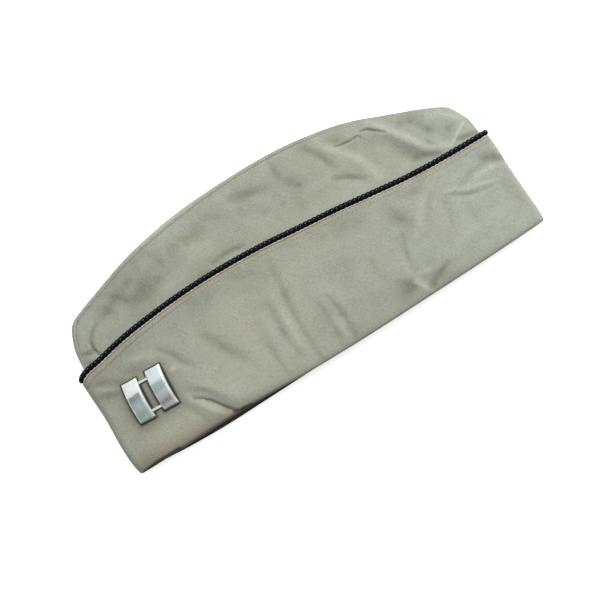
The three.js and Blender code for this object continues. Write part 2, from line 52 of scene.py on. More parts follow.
CURTAIN_EASE = 0.2
CLEARANCE = 0.3
CORD_WIDTH = 3.2
CORD_STAND_OFF = 0.5
LIFT_REACH = 11.0
SETTLE_REACH = 16.0
PANEL_STEP = 1.1
PIN_ROOM = 1.3
BADGE_ALONG = 32.3
BADGE_UP = 39.6
BADGE_FLAT = 9.5
BADGE_RELIEF = 17.0
CROWN_INSET = CURTAIN_THICKNESS + CLEARANCE + PANEL_THICKNESS / 2
SIDE_RUN_BELOW_CORD = 0.7

CROWN_EDGE = [
    (0.025, 0.640), (0.026, 0.668), (0.030, 0.704), (0.040, 0.761), (0.050, 0.799), (0.0615, 0.819),
    (0.078, 0.8355), (0.137, 0.8835), (0.220, 0.9405), (0.304, 0.973), (0.387, 0.9935), (0.490, 1.0),
    (0.596, 0.9855), (0.679, 0.9585), (0.763, 0.912), (0.846, 0.834), (0.930, 0.749), (0.9525, 0.716),
    (0.963, 0.6825), (0.978, 0.611),
]
CORD_LINE = [
    (0.003, 0.846), (0.014, 0.874), (0.031, 0.893), (0.057, 0.906), (0.099, 0.935), (0.140, 0.959),
    (0.200, 0.980), (0.264, 0.995), (0.326, 1.0), (0.388, 0.995), (0.471, 0.977), (0.553, 0.944),
    (0.636, 0.912), (0.719, 0.871), (0.802, 0.832), (0.885, 0.811), (0.997, 0.799),
]
# Share of the length, then the upper and the lower half's edge
LOWER_EDGE = [
    (0, 1, 1), (0.05, 1, 0.95), (0.12, 1.05, 0.4), (0.20, 1.08, 0.02), (0.32, 0.85, 0.04),
    (0.42, 0.35, 0.1), (0.55, 0.1, 0), (0.70, 0.15, 0.05), (0.85, 0.3, 0.25), (1, 0.62, 0.62),
]
# Share of the height, then the front and the rear fold
END_LEAN = [
    (0, 0.45, 0.1), (0.08, 0.1, 0), (0.3, 0, 0.2), (0.6, 0.4, 0.45), (0.85, 0.3, 0.45), (1, 0.3, 0.7),
]
# Share of the length, then the height at the lower edge, beside the cord and at the upper edge
BULGE = [
    (0, 0.52, 0.53, 0.42), (0.06, 0.70, 0.61, 0.39), (0.15, 0.90, 0.67, 0.37), (0.28, 1, 0.71, 0.36),
    (0.42, 0.93, 0.71, 0.36), (0.58, 0.87, 0.68, 0.36), (0.78, 0.76, 0.63, 0.37), (0.93, 0.64, 0.57, 0.39),
    (1, 0.50, 0.52, 0.42),
]
PANEL_STEPS = [(0.05, 0), (0.2, 1), (0.4, 1), (0.6, 0)]

# Broad creases: rise and half width in millimetres, and a line in shares of the length and the height
BROAD_CREASES = [
    (0.55, 4.5, [(0.705, 0.855), (0.770, 0.800)]),
    (-0.6, 5.4, [(0.690, 0.820), (0.765, 0.765)]),
    (0.5, 4.5, [(0.765, 0.850), (0.825, 0.765)]),
    (-0.6, 8.1, [(0.840, 0.700), (0.900, 0.760)]),
    (0.5, 5.4, [(0.910, 0.560), (0.955, 0.620)]),
    (-0.7, 9.0, [(0.600, 0.700), (0.720, 0.660)]),
    (0.5, 9.0, [(0.520, 0.930), (0.470, 0.700)]),
    (-0.5, 9.0, [(0.380, 0.930), (0.330, 0.730)]),
    (0.5, 9.0, [(0.240, 0.880), (0.180, 0.690)]),
    (-0.5, 7.2, [(0.130, 0.820), (0.100, 0.680)]),
    (-0.5, 3.6, [(0.066, 0.730), (0.064, 0.610)]),
    (-0.8, 4.5, [(0.180, 0.230), (0.262, 0.020)]),
    (0.8, 6.3, [(0.200, 0.260), (0.290, 0.060)]),
    (-0.6, 7.2, [(0.285, 0.330), (0.320, 0.220)]),
    (0.6, 5.4, [(0.408, 0.260), (0.412, 0.040)]),
    (-0.5, 6.3, [(0.045, 0.440), (0.050, 0.200)]),
    (-0.6, 9.0, [(0.460, 0.330), (0.640, 0.300)]),
    (0.6, 5.4, [(0.684, 0.170), (0.680, 0.020)]),
    (-0.6, 5.4, [(0.745, 0.140), (0.740, 0.020)]),
    (0.7, 7.2, [(0.850, 0.395), (0.940, 0.300)]),
]
# Finer folds of the upper side: rise and half width in millimetres, the painted shade that lies in them
# (below 0 a painted highlight on their back), and a line in shares of the length and the height
FOLDS = [
    (-0.8, 1.1, 0.8, [(0.095, 0.738), (0.083, 0.723), (0.070, 0.702), (0.063, 0.672), (0.062, 0.640),
                      (0.069, 0.597)]),
    (-0.5, 0.8, 0.9, [(0.063, 0.680), (0.062, 0.640), (0.066, 0.615), (0.070, 0.597)]),
    (-0.5, 4.0, 0.5, [(0.302, 0.834), (0.329, 0.862)]),
    (-0.8, 4.0, 0.8, [(0.190, 0.733), (0.257, 0.760)]),
    (-0.5, 2.5, 0.6, [(0.146, 0.820), (0.172, 0.754)]),
    (-0.6, 3.0, 0.7, [(0.137, 0.771), (0.114, 0.756)]),
    (-0.4, 2.2, 0.5, [(0.202, 0.835), (0.180, 0.810)]),
    (-0.3, 2.4, 0.4, [(0.227, 0.899), (0.228, 0.852)]),
    (-0.5, 3.0, 0.45, [(0.268, 0.872), (0.274, 0.824), (0.280, 0.776)]),
    (-0.3, 2.2, 0.3, [(0.321, 0.656), (0.356, 0.660)]),
    (-0.9, 1.8, 0.8, [(0.367, 0.683), (0.393, 0.689), (0.415, 0.686), (0.439, 0.678)]),
    (-0.5, 1.8, 0.8, [(0.036, 0.651), (0.061, 0.636)]),
    (-0.4, 1.8, 0.7, [(0.034, 0.609), (0.048, 0.588)]),
    (0.4, 4.5, -0.45, [(0.325, 0.812), (0.371, 0.767)]),
    (0.3, 4.5, -0.4, [(0.240, 0.700), (0.287, 0.710)]),
    (0.3, 4.5, -0.35, [(0.097, 0.696), (0.142, 0.698)]),
    (0.5, 3.0, -0.5, [(0.685, 0.914), (0.696, 0.847), (0.717, 0.772)]),
    (-0.9, 2.6, 0.7, [(0.653, 0.911), (0.671, 0.845), (0.685, 0.763)]),
    (-0.3, 2.4, 0.45, [(0.694, 0.890), (0.732, 0.852)]),
    (-0.9, 2.0, 0.8, [(0.672, 0.715), (0.695, 0.692), (0.723, 0.645)]),
    (0.2, 3.0, -0.35, [(0.622, 0.737), (0.665, 0.719)]),
    (-0.8, 3.2, 0.7, [(0.467, 0.902), (0.496, 0.875), (0.538, 0.859)]),
    (-0.4, 3.0, 0.4, [(0.396, 0.893), (0.423, 0.865)]),
    (-0.3, 3.5, 0.35, [(0.348, 0.845), (0.377, 0.859)]),
    (-0.3, 2.0, 0.35, [(0.576, 0.944), (0.575, 0.868)]),
    (-0.6, 4.0, 0.55, [(0.573, 0.860), (0.604, 0.780)]),
    (-0.2, 3.0, 0.25, [(0.500, 0.809), (0.529, 0.710)]),
    (-0.9, 0.75, 1.3, [(0.709, 0.845), (0.720, 0.837), (0.732, 0.834), (0.745, 0.830), (0.755, 0.831),
                       (0.763, 0.829), (0.766, 0.815)]),
    (-1.0, 0.8, 1.6, [(0.7725, 0.842), (0.780, 0.838), (0.787, 0.832), (0.794, 0.819), (0.802, 0.802),
                      (0.813, 0.778)]),
    (0.9, 3.2, -0.6, [(0.709, 0.823), (0.728, 0.768), (0.738, 0.714), (0.745, 0.653), (0.751, 0.605)]),
    (-1.4, 4.5, 0.5, [(0.803, 0.737), (0.825, 0.660), (0.845, 0.591), (0.879, 0.553)]),
    (-0.5, 2.0, 0.8, [(0.836, 0.593), (0.857, 0.580), (0.883, 0.552)]),
    (1.0, 2.8, -0.7, [(0.792, 0.859), (0.814, 0.794), (0.834, 0.726), (0.854, 0.657), (0.871, 0.598),
                      (0.908, 0.555)]),
    (-0.7, 3.4, 0.5, [(0.849, 0.771), (0.891, 0.738)]),
    (-0.7, 3.0, 0.45, [(0.880, 0.715), (0.903, 0.641)]),
    (-0.5, 3.0, 0.5, [(0.915, 0.613), (0.944, 0.638)]),
    (0.4, 0.8, -0.5, [(0.961, 0.612), (0.937, 0.580), (0.914, 0.547)]),
    (-0.7, 1.8, 0.9, [(0.934, 0.557), (0.951, 0.549), (0.973, 0.540)]),
    (0.3, 2.5, -0.4, [(0.932, 0.711), (0.951, 0.655), (0.959, 0.615)]),
    (-0.3, 1.8, 0.4, [(0.871, 0.632), (0.890, 0.593)]),
    (-0.5, 2.2, 0.5, [(0.013, 0.516), (0.043, 0.483), (0.074, 0.444)]),
    (-0.6, 3.0, 0.7, [(0.018, 0.429), (0.054, 0.400)]),
    (0.4, 1.8, -0.3, [(0.019, 0.467), (0.065, 0.422)]),
    (-0.4, 2.6, 0.5, [(0.089, 0.472), (0.132, 0.453)]),
    (0.4, 2.4, -0.4, [(0.104, 0.511), (0.157, 0.473)]),
    (-0.8, 2.4, 0.6, [(0.175, 0.482), (0.194, 0.430), (0.204, 0.377), (0.218, 0.322)]),
    (-0.9, 3.4, 0.65, [(0.271, 0.414), (0.284, 0.356), (0.295, 0.300), (0.314, 0.228)]),
    (-0.3, 3.5, 0.2, [(0.314, 0.228), (0.338, 0.120)]),
    (-0.5, 2.0, 0.45, [(0.191, 0.240), (0.216, 0.191), (0.237, 0.127)]),
    (-1.2, 0.8, 1.4, [(0.185, 0.197), (0.203, 0.170), (0.216, 0.140), (0.226, 0.103), (0.235, 0.068),
                      (0.248, 0.041)]),
    (-0.8, 2.0, 0.9, [(0.228, 0.095), (0.243, 0.035)]),
    (0.8, 2.4, -0.3, [(0.178, 0.196), (0.197, 0.140), (0.211, 0.086), (0.234, 0.042)]),
    (-0.6, 2.6, 0.4, [(0.162, 0.191), (0.173, 0.142), (0.184, 0.075)]),
    (0.4, 3.5, -0.3, [(0.207, 0.244), (0.232, 0.162), (0.268, 0.077)]),
    (-0.6, 2.2, 0.4, [(0.465, 0.551), (0.461, 0.474), (0.457, 0.400), (0.453, 0.322), (0.450, 0.249),
                      (0.449, 0.166), (0.449, 0.087), (0.452, 0.027)]),
    (-0.3, 3.0, 0.35, [(0.457, 0.400), (0.459, 0.363)]),
    (0.45, 2.0, -0.35, [(0.434, 0.395), (0.433, 0.312), (0.430, 0.221), (0.430, 0.132)]),
    (-0.6, 2.2, 0.5, [(0.416, 0.376), (0.415, 0.293), (0.412, 0.219), (0.413, 0.162), (0.417, 0.095)]),
    (0.3, 2.4, -0.3, [(0.394, 0.340), (0.392, 0.243), (0.391, 0.133)]),
    (-0.4, 2.2, 0.35, [(0.369, 0.259), (0.373, 0.192), (0.374, 0.118), (0.375, 0.049)]),
    (-0.6, 2.2, 0.55, [(0.527, 0.264), (0.536, 0.190), (0.537, 0.115), (0.536, 0.039)]),
    (0.4, 2.0, -0.35, [(0.516, 0.163), (0.520, 0.096), (0.521, 0.038)]),
    (-0.35, 2.2, 0.3, [(0.506, 0.250), (0.506, 0.171), (0.504, 0.102), (0.501, 0.028)]),
    (-0.2, 3.0, 0.3, [(0.376, 0.574), (0.423, 0.550)]),
    (-0.2, 2.4, 0.25, [(0.508, 0.573), (0.540, 0.531)]),
    (-0.2, 3.5, 0.2, [(0.388, 0.406), (0.424, 0.359)]),
    (-0.6, 4.0, 0.7, [(0.732, 0.431), (0.752, 0.352)]),
    (-0.5, 2.0, 0.45, [(0.729, 0.312), (0.717, 0.251), (0.706, 0.177), (0.698, 0.111)]),
    (0.6, 2.0, -0.4, [(0.704, 0.203), (0.700, 0.136), (0.705, 0.078), (0.717, 0.022)]),
    (-0.4, 2.6, 0.5, [(0.669, 0.131), (0.693, 0.095)]),
    (-0.3, 3.0, 0.4, [(0.767, 0.476), (0.816, 0.443)]),
    (0.4, 2.4, -0.3, [(0.826, 0.451), (0.797, 0.398), (0.772, 0.328)]),
    (-0.35, 2.2, 0.3, [(0.818, 0.406), (0.794, 0.329), (0.767, 0.246)]),
    (-0.3, 2.4, 0.25, [(0.837, 0.340), (0.831, 0.258), (0.825, 0.173)]),
    (-0.25, 2.4, 0.2, [(0.875, 0.284), (0.875, 0.212), (0.878, 0.145)]),
    (0.45, 1.3, -0.3, [(0.848, 0.380), (0.870, 0.364), (0.893, 0.331), (0.921, 0.318), (0.950, 0.298)]),
    (-0.45, 1.6, 0.35, [(0.861, 0.349), (0.884, 0.316), (0.910, 0.295), (0.936, 0.285)]),
    (-0.8, 3.0, 0.9, [(0.954, 0.421), (0.992, 0.371)]),
    (-0.5, 2.4, 0.5, [(0.952, 0.396), (0.916, 0.387), (0.885, 0.365)]),
    (0.5, 2.0, -0.45, [(0.989, 0.342), (0.953, 0.361), (0.923, 0.360)]),
    (-0.3, 2.6, 0.3, [(0.957, 0.305), (0.963, 0.240), (0.970, 0.168)]),
    (-0.8, 1.8, 0.8, [(0.776, 0.093), (0.754, 0.068), (0.721, 0.038)]),
    (0.4, 1.8, -0.4, [(0.715, 0.120), (0.757, 0.097)]),
    (0.4, 4.0, -0.3, [(0.911, 0.159), (0.855, 0.151), (0.807, 0.119), (0.776, 0.093)]),
]
FOLD_FADE = 0.5

EDGE_ROLL = 1.3
EDGE_SEAM_IN = 2.4
SEAM_CHANNEL = 0.16


def smooth_curve(rows, column, place):
    keys = np.array([row[0] for row in rows], dtype=float)
    values = np.array([row[column] for row in rows], dtype=float)
    steps = np.diff(values) / np.diff(keys)
    slopes = np.concatenate([steps[:1], (steps[:-1] + steps[1:]) / 2, steps[-1:]])
    place = np.clip(place, keys[0], keys[-1])
    row = np.clip(np.searchsorted(keys, place, side="right") - 1, 0, len(keys) - 2)
    span = keys[row + 1] - keys[row]
    t = (place - keys[row]) / span
    return (
        values[row] * (1 + 2 * t) * (1 - t) ** 2
        + slopes[row] * span * t * (1 - t) ** 2
        + values[row + 1] * t * t * (3 - 2 * t)
        + slopes[row + 1] * span * t * t * (t - 1)
    )


def ease(value, low, high):
    t = np.clip((value - low) / (high - low), 0, 1)
    return t * t * (3 - 2 * t)


def mix(a, b, share):
    return a + (b - a) * share


def distance_along(path):
    return np.concatenate([[0], np.cumsum(np.linalg.norm(np.diff(path, axis=0), axis=1))])


def sampled(path, run, marks):
    return np.stack([np.interp(marks, run, path[:, axis]) for axis in range(path.shape[1])], axis=-1)


def unit(vectors):
    return vectors / np.linalg.norm(vectors, axis=-1)[..., None]


def lower_edge_up(side, along):
    return EDGE_BOW * smooth_curve(LOWER_EDGE, 1 if side > 0 else 2, along / CAP_LENGTH)


def cord_up(along):
    return CURTAIN_HEIGHT * smooth_curve(CORD_LINE, 1, along / CAP_LENGTH)


def beside_cord(along, up):
    below = cord_up(along) - up
    return 1 - np.where(below > 0, ease(below, 0, LIFT_REACH), ease(-below, 0, SETTLE_REACH))


def beside_line(along, up, line, width, fade):
    points = [np.array(point) * (CAP_LENGTH, CROWN_HEIGHT) for point in line]
    lengths = [np.linalg.norm(end - start) for start, end in zip(points, points[1:])]
    nearest = np.full(np.shape(along), 1e9)
    share = np.zeros(np.shape(along))
    passed = 0
    for start, end, length in zip(points, points[1:], lengths):
        direction = (end - start) / length
        run = np.clip((along - start[0]) * direction[0] + (up - start[1]) * direction[1], 0, length)
        away = np.hypot(along - start[0] - run * direction[0], up - start[1] - run * direction[1])
        closer = away < nearest
        nearest = np.where(closer, away, nearest)
        share = np.where(closer, (passed + run) / sum(lengths), share)
        passed += length
    return (1 - fade * np.abs(2 * share - 1)) * np.exp(-((nearest / width) ** 2))


def crease_rise(along, up):
    return sum(rise * beside_line(along, up, line, width, FOLD_FADE) for rise, width, line in BROAD_CREASES)


def fold_rise(along, up):
    return sum(rise * beside_line(along, up, line, width, FOLD_FADE) for rise, width, _, line in FOLDS)


def badge_hollow(along, up):
    away = np.hypot(along - BADGE_ALONG, up - BADGE_UP)
    return PIN_ROOM * (1 - ease(away, BADGE_FLAT, BADGE_RELIEF))


def upper_face(along, up, panel_level):
    share = along / CAP_LENGTH
    band = np.minimum(1, up / cord_up(along))
    level = np.where(band < 1, band, np.maximum(1, panel_level))
    edge = smooth_curve(BULGE, 1, share)
    beside = smooth_curve(BULGE, 2, share)
    top = smooth_curve(BULGE, 3, share)
    height = np.where(level < 1, mix(edge, beside, level), mix(beside, top, level - 1))
    return height * LIE_HEIGHT + crease_rise(along, up)


def lower_face(along, up):
    on_curtain = CURTAIN_THICKNESS + CLEARANCE + CURTAIN_EASE
    on_cord = CORD_WIDTH + CLEARANCE
    lift = beside_cord(along, up)
    return np.where(up < cord_up(along), mix(on_curtain, on_cord, lift), on_cord * lift)


LOWER_ROLL = 1.5
LOWER_ROLL_REACH = 8.0


def layer_point(side, along, up, level, outward, turn, seam_gap=CLEARANCE):
    fine = 0
    if side > 0:
        near_edge = 1 - np.clip((up - lower_edge_up(1, along)) / LOWER_ROLL_REACH, 0, 1)
        fine = fold_rise(along, up) - LOWER_ROLL * near_edge ** 3
    upper = upper_face(along, up, level) + outward
    lower = lower_face(along, up) - outward
    seam = (upper + lower) / 2 + side * seam_gap / 2
    own = upper + fine if side > 0 else lower
    return np.stack([along, up, seam + (own - seam) * np.sin(turn)], axis=-1)


def fold_columns(u, length, radius, ends=0.03):
    near = np.minimum(u, 1 - u)
    turn = np.minimum(near / ends, 1) * math.pi / 2
    rounded = radius * (1 - np.cos(turn)) / length
    flat = radius / length + (near - ends) / (0.5 - ends) * (0.5 - radius / length)
    share = np.where(near < ends, rounded, flat)
    return np.where(u < 0.5, share, 1 - share), turn


EDGE_POINTS = np.array(CROWN_EDGE) * (CAP_LENGTH, CROWN_HEIGHT)
EDGE_RUN = distance_along(EDGE_POINTS)
EDGE_BY_RUN = [(run, x, y) for run, (x, y) in zip(EDGE_RUN / EDGE_RUN[-1], EDGE_POINTS)]


def panel_place(side, share, level):
    front = CROWN_INSET + END_EASE * END_LEAN[0][1]
    rear = CAP_LENGTH - CROWN_INSET - END_EASE * END_LEAN[0][2]
    bottom_along = mix(front, rear, share)
    bottom_up = lower_edge_up(side, bottom_along) + CURTAIN_THICKNESS + CLEARANCE
    top_along = smooth_curve(EDGE_BY_RUN, 1, share)
    step = PANEL_STEP * smooth_curve(PANEL_STEPS, 1, share) if side > 0 else 0
    top_up = smooth_curve(EDGE_BY_RUN, 2, share) - step
    cross_along = mix(bottom_along, top_along, SIDE_RUN_BELOW_CORD)
    cross = (cord_up(cross_along) - bottom_up) / (top_up - bottom_up)
    reach = np.where(level < 1, cross * level, mix(cross, 1, level - 1))
    return mix(bottom_along, top_along, reach), mix(bottom_up, top_up, reach)


def panel_point(side, share, level, inward, turn, seam_gap=CLEARANCE):
    along, up = panel_place(side, share, level)
    point = layer_point(side, along, up, level, -inward, turn, seam_gap)
    relief = badge_hollow(along, up) if side > 0 else 0
    point[..., 2] -= relief * np.sin(turn)
    return point


def in_frame(point):
    return (point - (CAP_LENGTH / 2, CROWN_HEIGHT / 2, 0)) / 1000


# Soft patches of the cloth's colour on the upper side, the dark and pale ones partly painted shade and
# light
# over slopes and folds: what they are, how strong, their middle in shares of the length and the height,
# their radii in millimetres and their lean
BLEACHED, BROWN, DARK, PALE, SHADOW_LINE = range(5)
PATCHES = [
    (BLEACHED, 0.7, 0.115, 0.745, 14, 9, 30), (BLEACHED, 0.6, 0.275, 0.900, 16, 7, 20),
    (BLEACHED, 0.45, 0.395, 0.930, 16, 6, 10), (BLEACHED, 0.25, 0.560, 0.930, 15, 7, -10),
    (BLEACHED, 0.35, 0.905, 0.640, 14, 10, -40), (BLEACHED, 0.35, 0.770, 0.140, 20, 10, 20),
    (BLEACHED, 0.4, 0.860, 0.330, 18, 9, 10), (BLEACHED, 0.5, 0.740, 0.300, 9, 16, 0),
    (BLEACHED, 0.5, 0.080, 0.800, 8, 5, 50), (BLEACHED, 0.5, 0.520, 0.060, 22, 8, 0),
    (BLEACHED, 0.4, 0.250, 0.100, 12, 7, 0), (BLEACHED, 0.35, 0.950, 0.450, 20, 50, 0),
    (BLEACHED, 0.45, 0.830, 0.780, 20, 13, -45), (BLEACHED, 0.30, 0.300, 0.620, 60, 10, 10),
    (DARK, 0.36, 0.470, 0.840, 140, 30, 0), (DARK, 0.10, 0.120, 0.720, 40, 25, 40),
    (DARK, 0.30, 0.880, 0.650, 30, 18, -40), (DARK, 0.20, 0.985, 0.350, 8, 40, 0),
    (DARK, 0.20, 0.720, 0.370, 10, 14, 0), (PALE, 0.30, 0.340, 0.270, 8, 16, 0),
    (PALE, 0.25, 0.120, 0.130, 22, 7, 0), (PALE, 0.20, 0.500, 0.710, 20, 6, 0),
    (PALE, 0.15, 0.330, 0.890, 20, 6, 20),
    (DARK, 0.30, 0.160, 0.780, 30, 14, 30), (DARK, 0.35, 0.225, 0.750, 15, 7, 55),
    (DARK, 0.12, 0.350, 0.850, 13, 6, 40), (DARK, 0.10, 0.738, 0.740, 14, 7, -50),
    (DARK, 0.50, 0.300, 0.570, 20, 7, 10), (DARK, 0.30, 0.440, 0.520, 16, 6, 0),
    (DARK, 0.45, 0.640, 0.495, 18, 6, -10), (DARK, 0.25, 0.590, 0.300, 11, 14, 0),
    (DARK, 0.30, 0.110, 0.520, 18, 7, 15), (DARK, 0.30, 0.025, 0.470, 9, 12, 0),
    (DARK, 0.25, 0.680, 0.070, 12, 6, 0), (DARK, 0.25, 0.500, 0.200, 6, 14, 0),
    (DARK, 0.25, 0.660, 0.090, 60, 14, 0), (DARK, 0.35, 0.679, 0.085, 5, 3, 20),
    (DARK, 0.35, 0.733, 0.060, 6, 3, 60), (DARK, 0.15, 0.120, 0.310, 18, 16, 0),
    (DARK, 0.30, 0.025, 0.050, 10, 5, 0), (DARK, 0.35, 0.222, 0.060, 12, 6, 0),
    (DARK, 0.35, 0.088, 0.265, 8, 7, 0), (DARK, 0.28, 0.530, 0.060, 12, 6, 0),
    (DARK, 0.28, 0.752, 0.090, 14, 7, 0), (DARK, 0.25, 0.590, 0.700, 12, 6, 0),
    (PALE, 0.30, 0.095, 0.130, 9, 5, 0), (PALE, 0.30, 0.912, 0.745, 8, 5, -45),
    (BLEACHED, 0.30, 0.875, 0.760, 14, 9, -45), (DARK, 0.10, 0.760, 0.240, 90, 35, 0),
    (BROWN, 0.65, 0.050, 0.060, 24, 9, 0), (BROWN, 0.65, 0.200, 0.030, 34, 6, 0),
    (BROWN, 0.45, 0.110, 0.300, 24, 22, 0), (BROWN, 0.45, 0.480, 0.700, 40, 5, 0),
    (BROWN, 0.15, 0.370, 0.300, 18, 14, 0), (BROWN, 0.5, 0.300, 0.690, 22, 5, 0),
]
# Stains along a line, and painted shade, light and shadow along edges, ridges and creases: what they are,
# how strong, half width in millimetres and the line in shares
STAINS = [
    (BLEACHED, 0.9, 3.0, [(0.308, 0.926), (0.358, 0.932)]),
    (BLEACHED, 0.8, 3.0, [(0.188, 0.865), (0.234, 0.899)]),
    (BLEACHED, 0.8, 2.6, [(0.156, 0.839), (0.177, 0.843)]),
    (BLEACHED, 0.7, 2.6, [(0.110, 0.812), (0.143, 0.825)]),
    (BLEACHED, 0.7, 2.6, [(0.088, 0.787), (0.060, 0.738)]),
    (BLEACHED, 0.6, 3.0, [(0.440, 0.935), (0.475, 0.935)]),
    (BLEACHED, 0.4, 2.6, [(0.505, 0.945), (0.530, 0.945)]),
    (BLEACHED, 0.3, 2.6, [(0.555, 0.925), (0.575, 0.920)]),
    (BLEACHED, 0.6, 2.6, [(0.672, 0.905), (0.690, 0.925)]),
    (BLEACHED, 0.35, 30, [(0.930, 0.750), (0.970, 0.150)]),
    (BLEACHED, 0.35, 12, [(0.730, 0.120), (0.990, 0.060)]),
    (BLEACHED, 0.25, 5.0, [(0.932, 0.711), (0.959, 0.615)]),
    (BROWN, 2.2, 1.1, [(0.554, 0.747), (0.556, 0.748)]),
    (BROWN, 0.5, 3.0, [(0.647, 0.281), (0.648, 0.206)]),
    (PALE, 0.5, 0.7, [(0.961, 0.612), (0.937, 0.580), (0.914, 0.547)]),
    (BROWN, 1.4, 1.1, [(0.004, 0.590), (0.003, 0.350), (0.003, 0.050)]),
    (BROWN, 1.4, 1.0, [(0.188, 0.193), (0.216, 0.140), (0.235, 0.068), (0.250, 0.015)]),
    (DARK, 0.4, 1.0, [(0.004, 0.590), (0.003, 0.350), (0.003, 0.050)]),
    (PALE, 0.5, 1.4, [(0.700, 0.100), (0.712, 0.045)]),
    (BROWN, 0.7, 0.8, CROWN_EDGE[10:19]), (DARK, 0.6, 0.7, CROWN_EDGE[10:19]),
    (DARK, 1.2, 0.8, [(0.605, 0.784), (0.606, 0.785)]), (DARK, 1.4, 0.9, [(0.064, 0.797), (0.065, 0.798)]),
    (PALE, 1.0, 1.3, [(0.180, 0.367), (0.186, 0.371)]),
    # Painted shadow lines along the front of the lower edge and in the sharp crease above it
    (SHADOW_LINE, 0.85, 1.0, [(0.018, 0.027), (0.049, 0.037), (0.105, 0.035)]),
    (BROWN, 0.8, 2.2, [(0.020, 0.030), (0.049, 0.040), (0.100, 0.036)]),
    (SHADOW_LINE, 0.75, 0.7, [(0.241, 0.044), (0.266, 0.035), (0.281, 0.029)]),
    (SHADOW_LINE, 0.4, 0.5, [(0.205, 0.160), (0.234, 0.086), (0.248, 0.041)]),
]
EDGE_BROWN = 0.9
EDGE_DARK = 0.6
EDGE_STAIN_AND_SHADE_DEPTH = 0.9
SHADOW_LINE_WIDTH = 0.6
CORD_TO_EDGE = CORD_WIDTH / 2 + CLEARANCE
BORDER_OUTER_ROW = 1.0
BORDER_INNER_ROW = 2.95
BORDER_FRONT_ROW = 3.9
ROW_SHADE_WIDTH = 0.45


def border_row(share):
    return mix(BORDER_FRONT_ROW, BORDER_INNER_ROW, ease(share, 0.08, 0.38))


def shared_marks(side, along, up):
    marks = np.zeros((len(along), 5))
    share = along / CAP_LENGTH
    from_edge = np.maximum(np.abs(up - lower_edge_up(side, along)) - CURTAIN_THICKNESS / 2, 0)
    front = ease(share, 0, 0.05) * (1 - ease(share, 0.25, 0.45))
    # Brown staining and painted shade towards the lower edge where the hem rolls under, reaching further in
    # at the front and weaker towards the rear
    edge_stain_and_shade = np.exp(-from_edge / (EDGE_STAIN_AND_SHADE_DEPTH * (1 + front))) * (1 - 0.4 * ease(share, 0.3, 0.7))
    marks[:, BROWN] += EDGE_BROWN * edge_stain_and_shade
    marks[:, DARK] += EDGE_DARK * edge_stain_and_shade
    # A painted shadow line right along the lower edge, wider towards the front
    shadow_line_width = SHADOW_LINE_WIDTH * (1 + 0.7 * front)
    marks[:, SHADOW_LINE] += (0.5 + 0.4 * front) * np.exp(-((from_edge / shadow_line_width) ** 2))
    slope = (cord_up(along + 1) - cord_up(along - 1)) / 2
    below = (cord_up(along) - up) / np.hypot(1, slope) - CORD_TO_EDGE
    # Painted shade, brown, in the channels of the border's two stitch rows below the cord
    for row, strength in ((BORDER_OUTER_ROW, 1.0), (border_row(share) + 0.3, 0.6)):
        marks[:, BROWN] += strength * np.exp(-(((below - row) / ROW_SHADE_WIDTH) ** 2))
    return marks


def upper_marks(along, up):
    marks = shared_marks(1, along, up)
    for kind, strength, middle_along, middle_up, length, width, lean in PATCHES:
        x = along - middle_along * CAP_LENGTH
        y = up - middle_up * CROWN_HEIGHT
        cosine, sine = math.cos(math.radians(lean)), math.sin(math.radians(lean))
        away = ((x * cosine + y * sine) / length) ** 2 + ((y * cosine - x * sine) / width) ** 2
        marks[:, kind] += strength * np.exp(-away)
    for kind, strength, width, line in STAINS:
        marks[:, kind] += strength * beside_line(along, up, line, width, 0)
    # Painted shade along the folds, and a painted highlight along those whose value is below 0
    for _, width, fold_shade, line in FOLDS:
        marks[:, DARK if fold_shade > 0 else PALE] += abs(fold_shade) * beside_line(along, up, line, width, FOLD_FADE)
    return marks


EDGE_SOFTNESS = 0.3
CORNER_ANGLE = math.radians(60)
SMOOTH_ANGLE = math.radians(50)
MERGE_DISTANCE = 0.00001


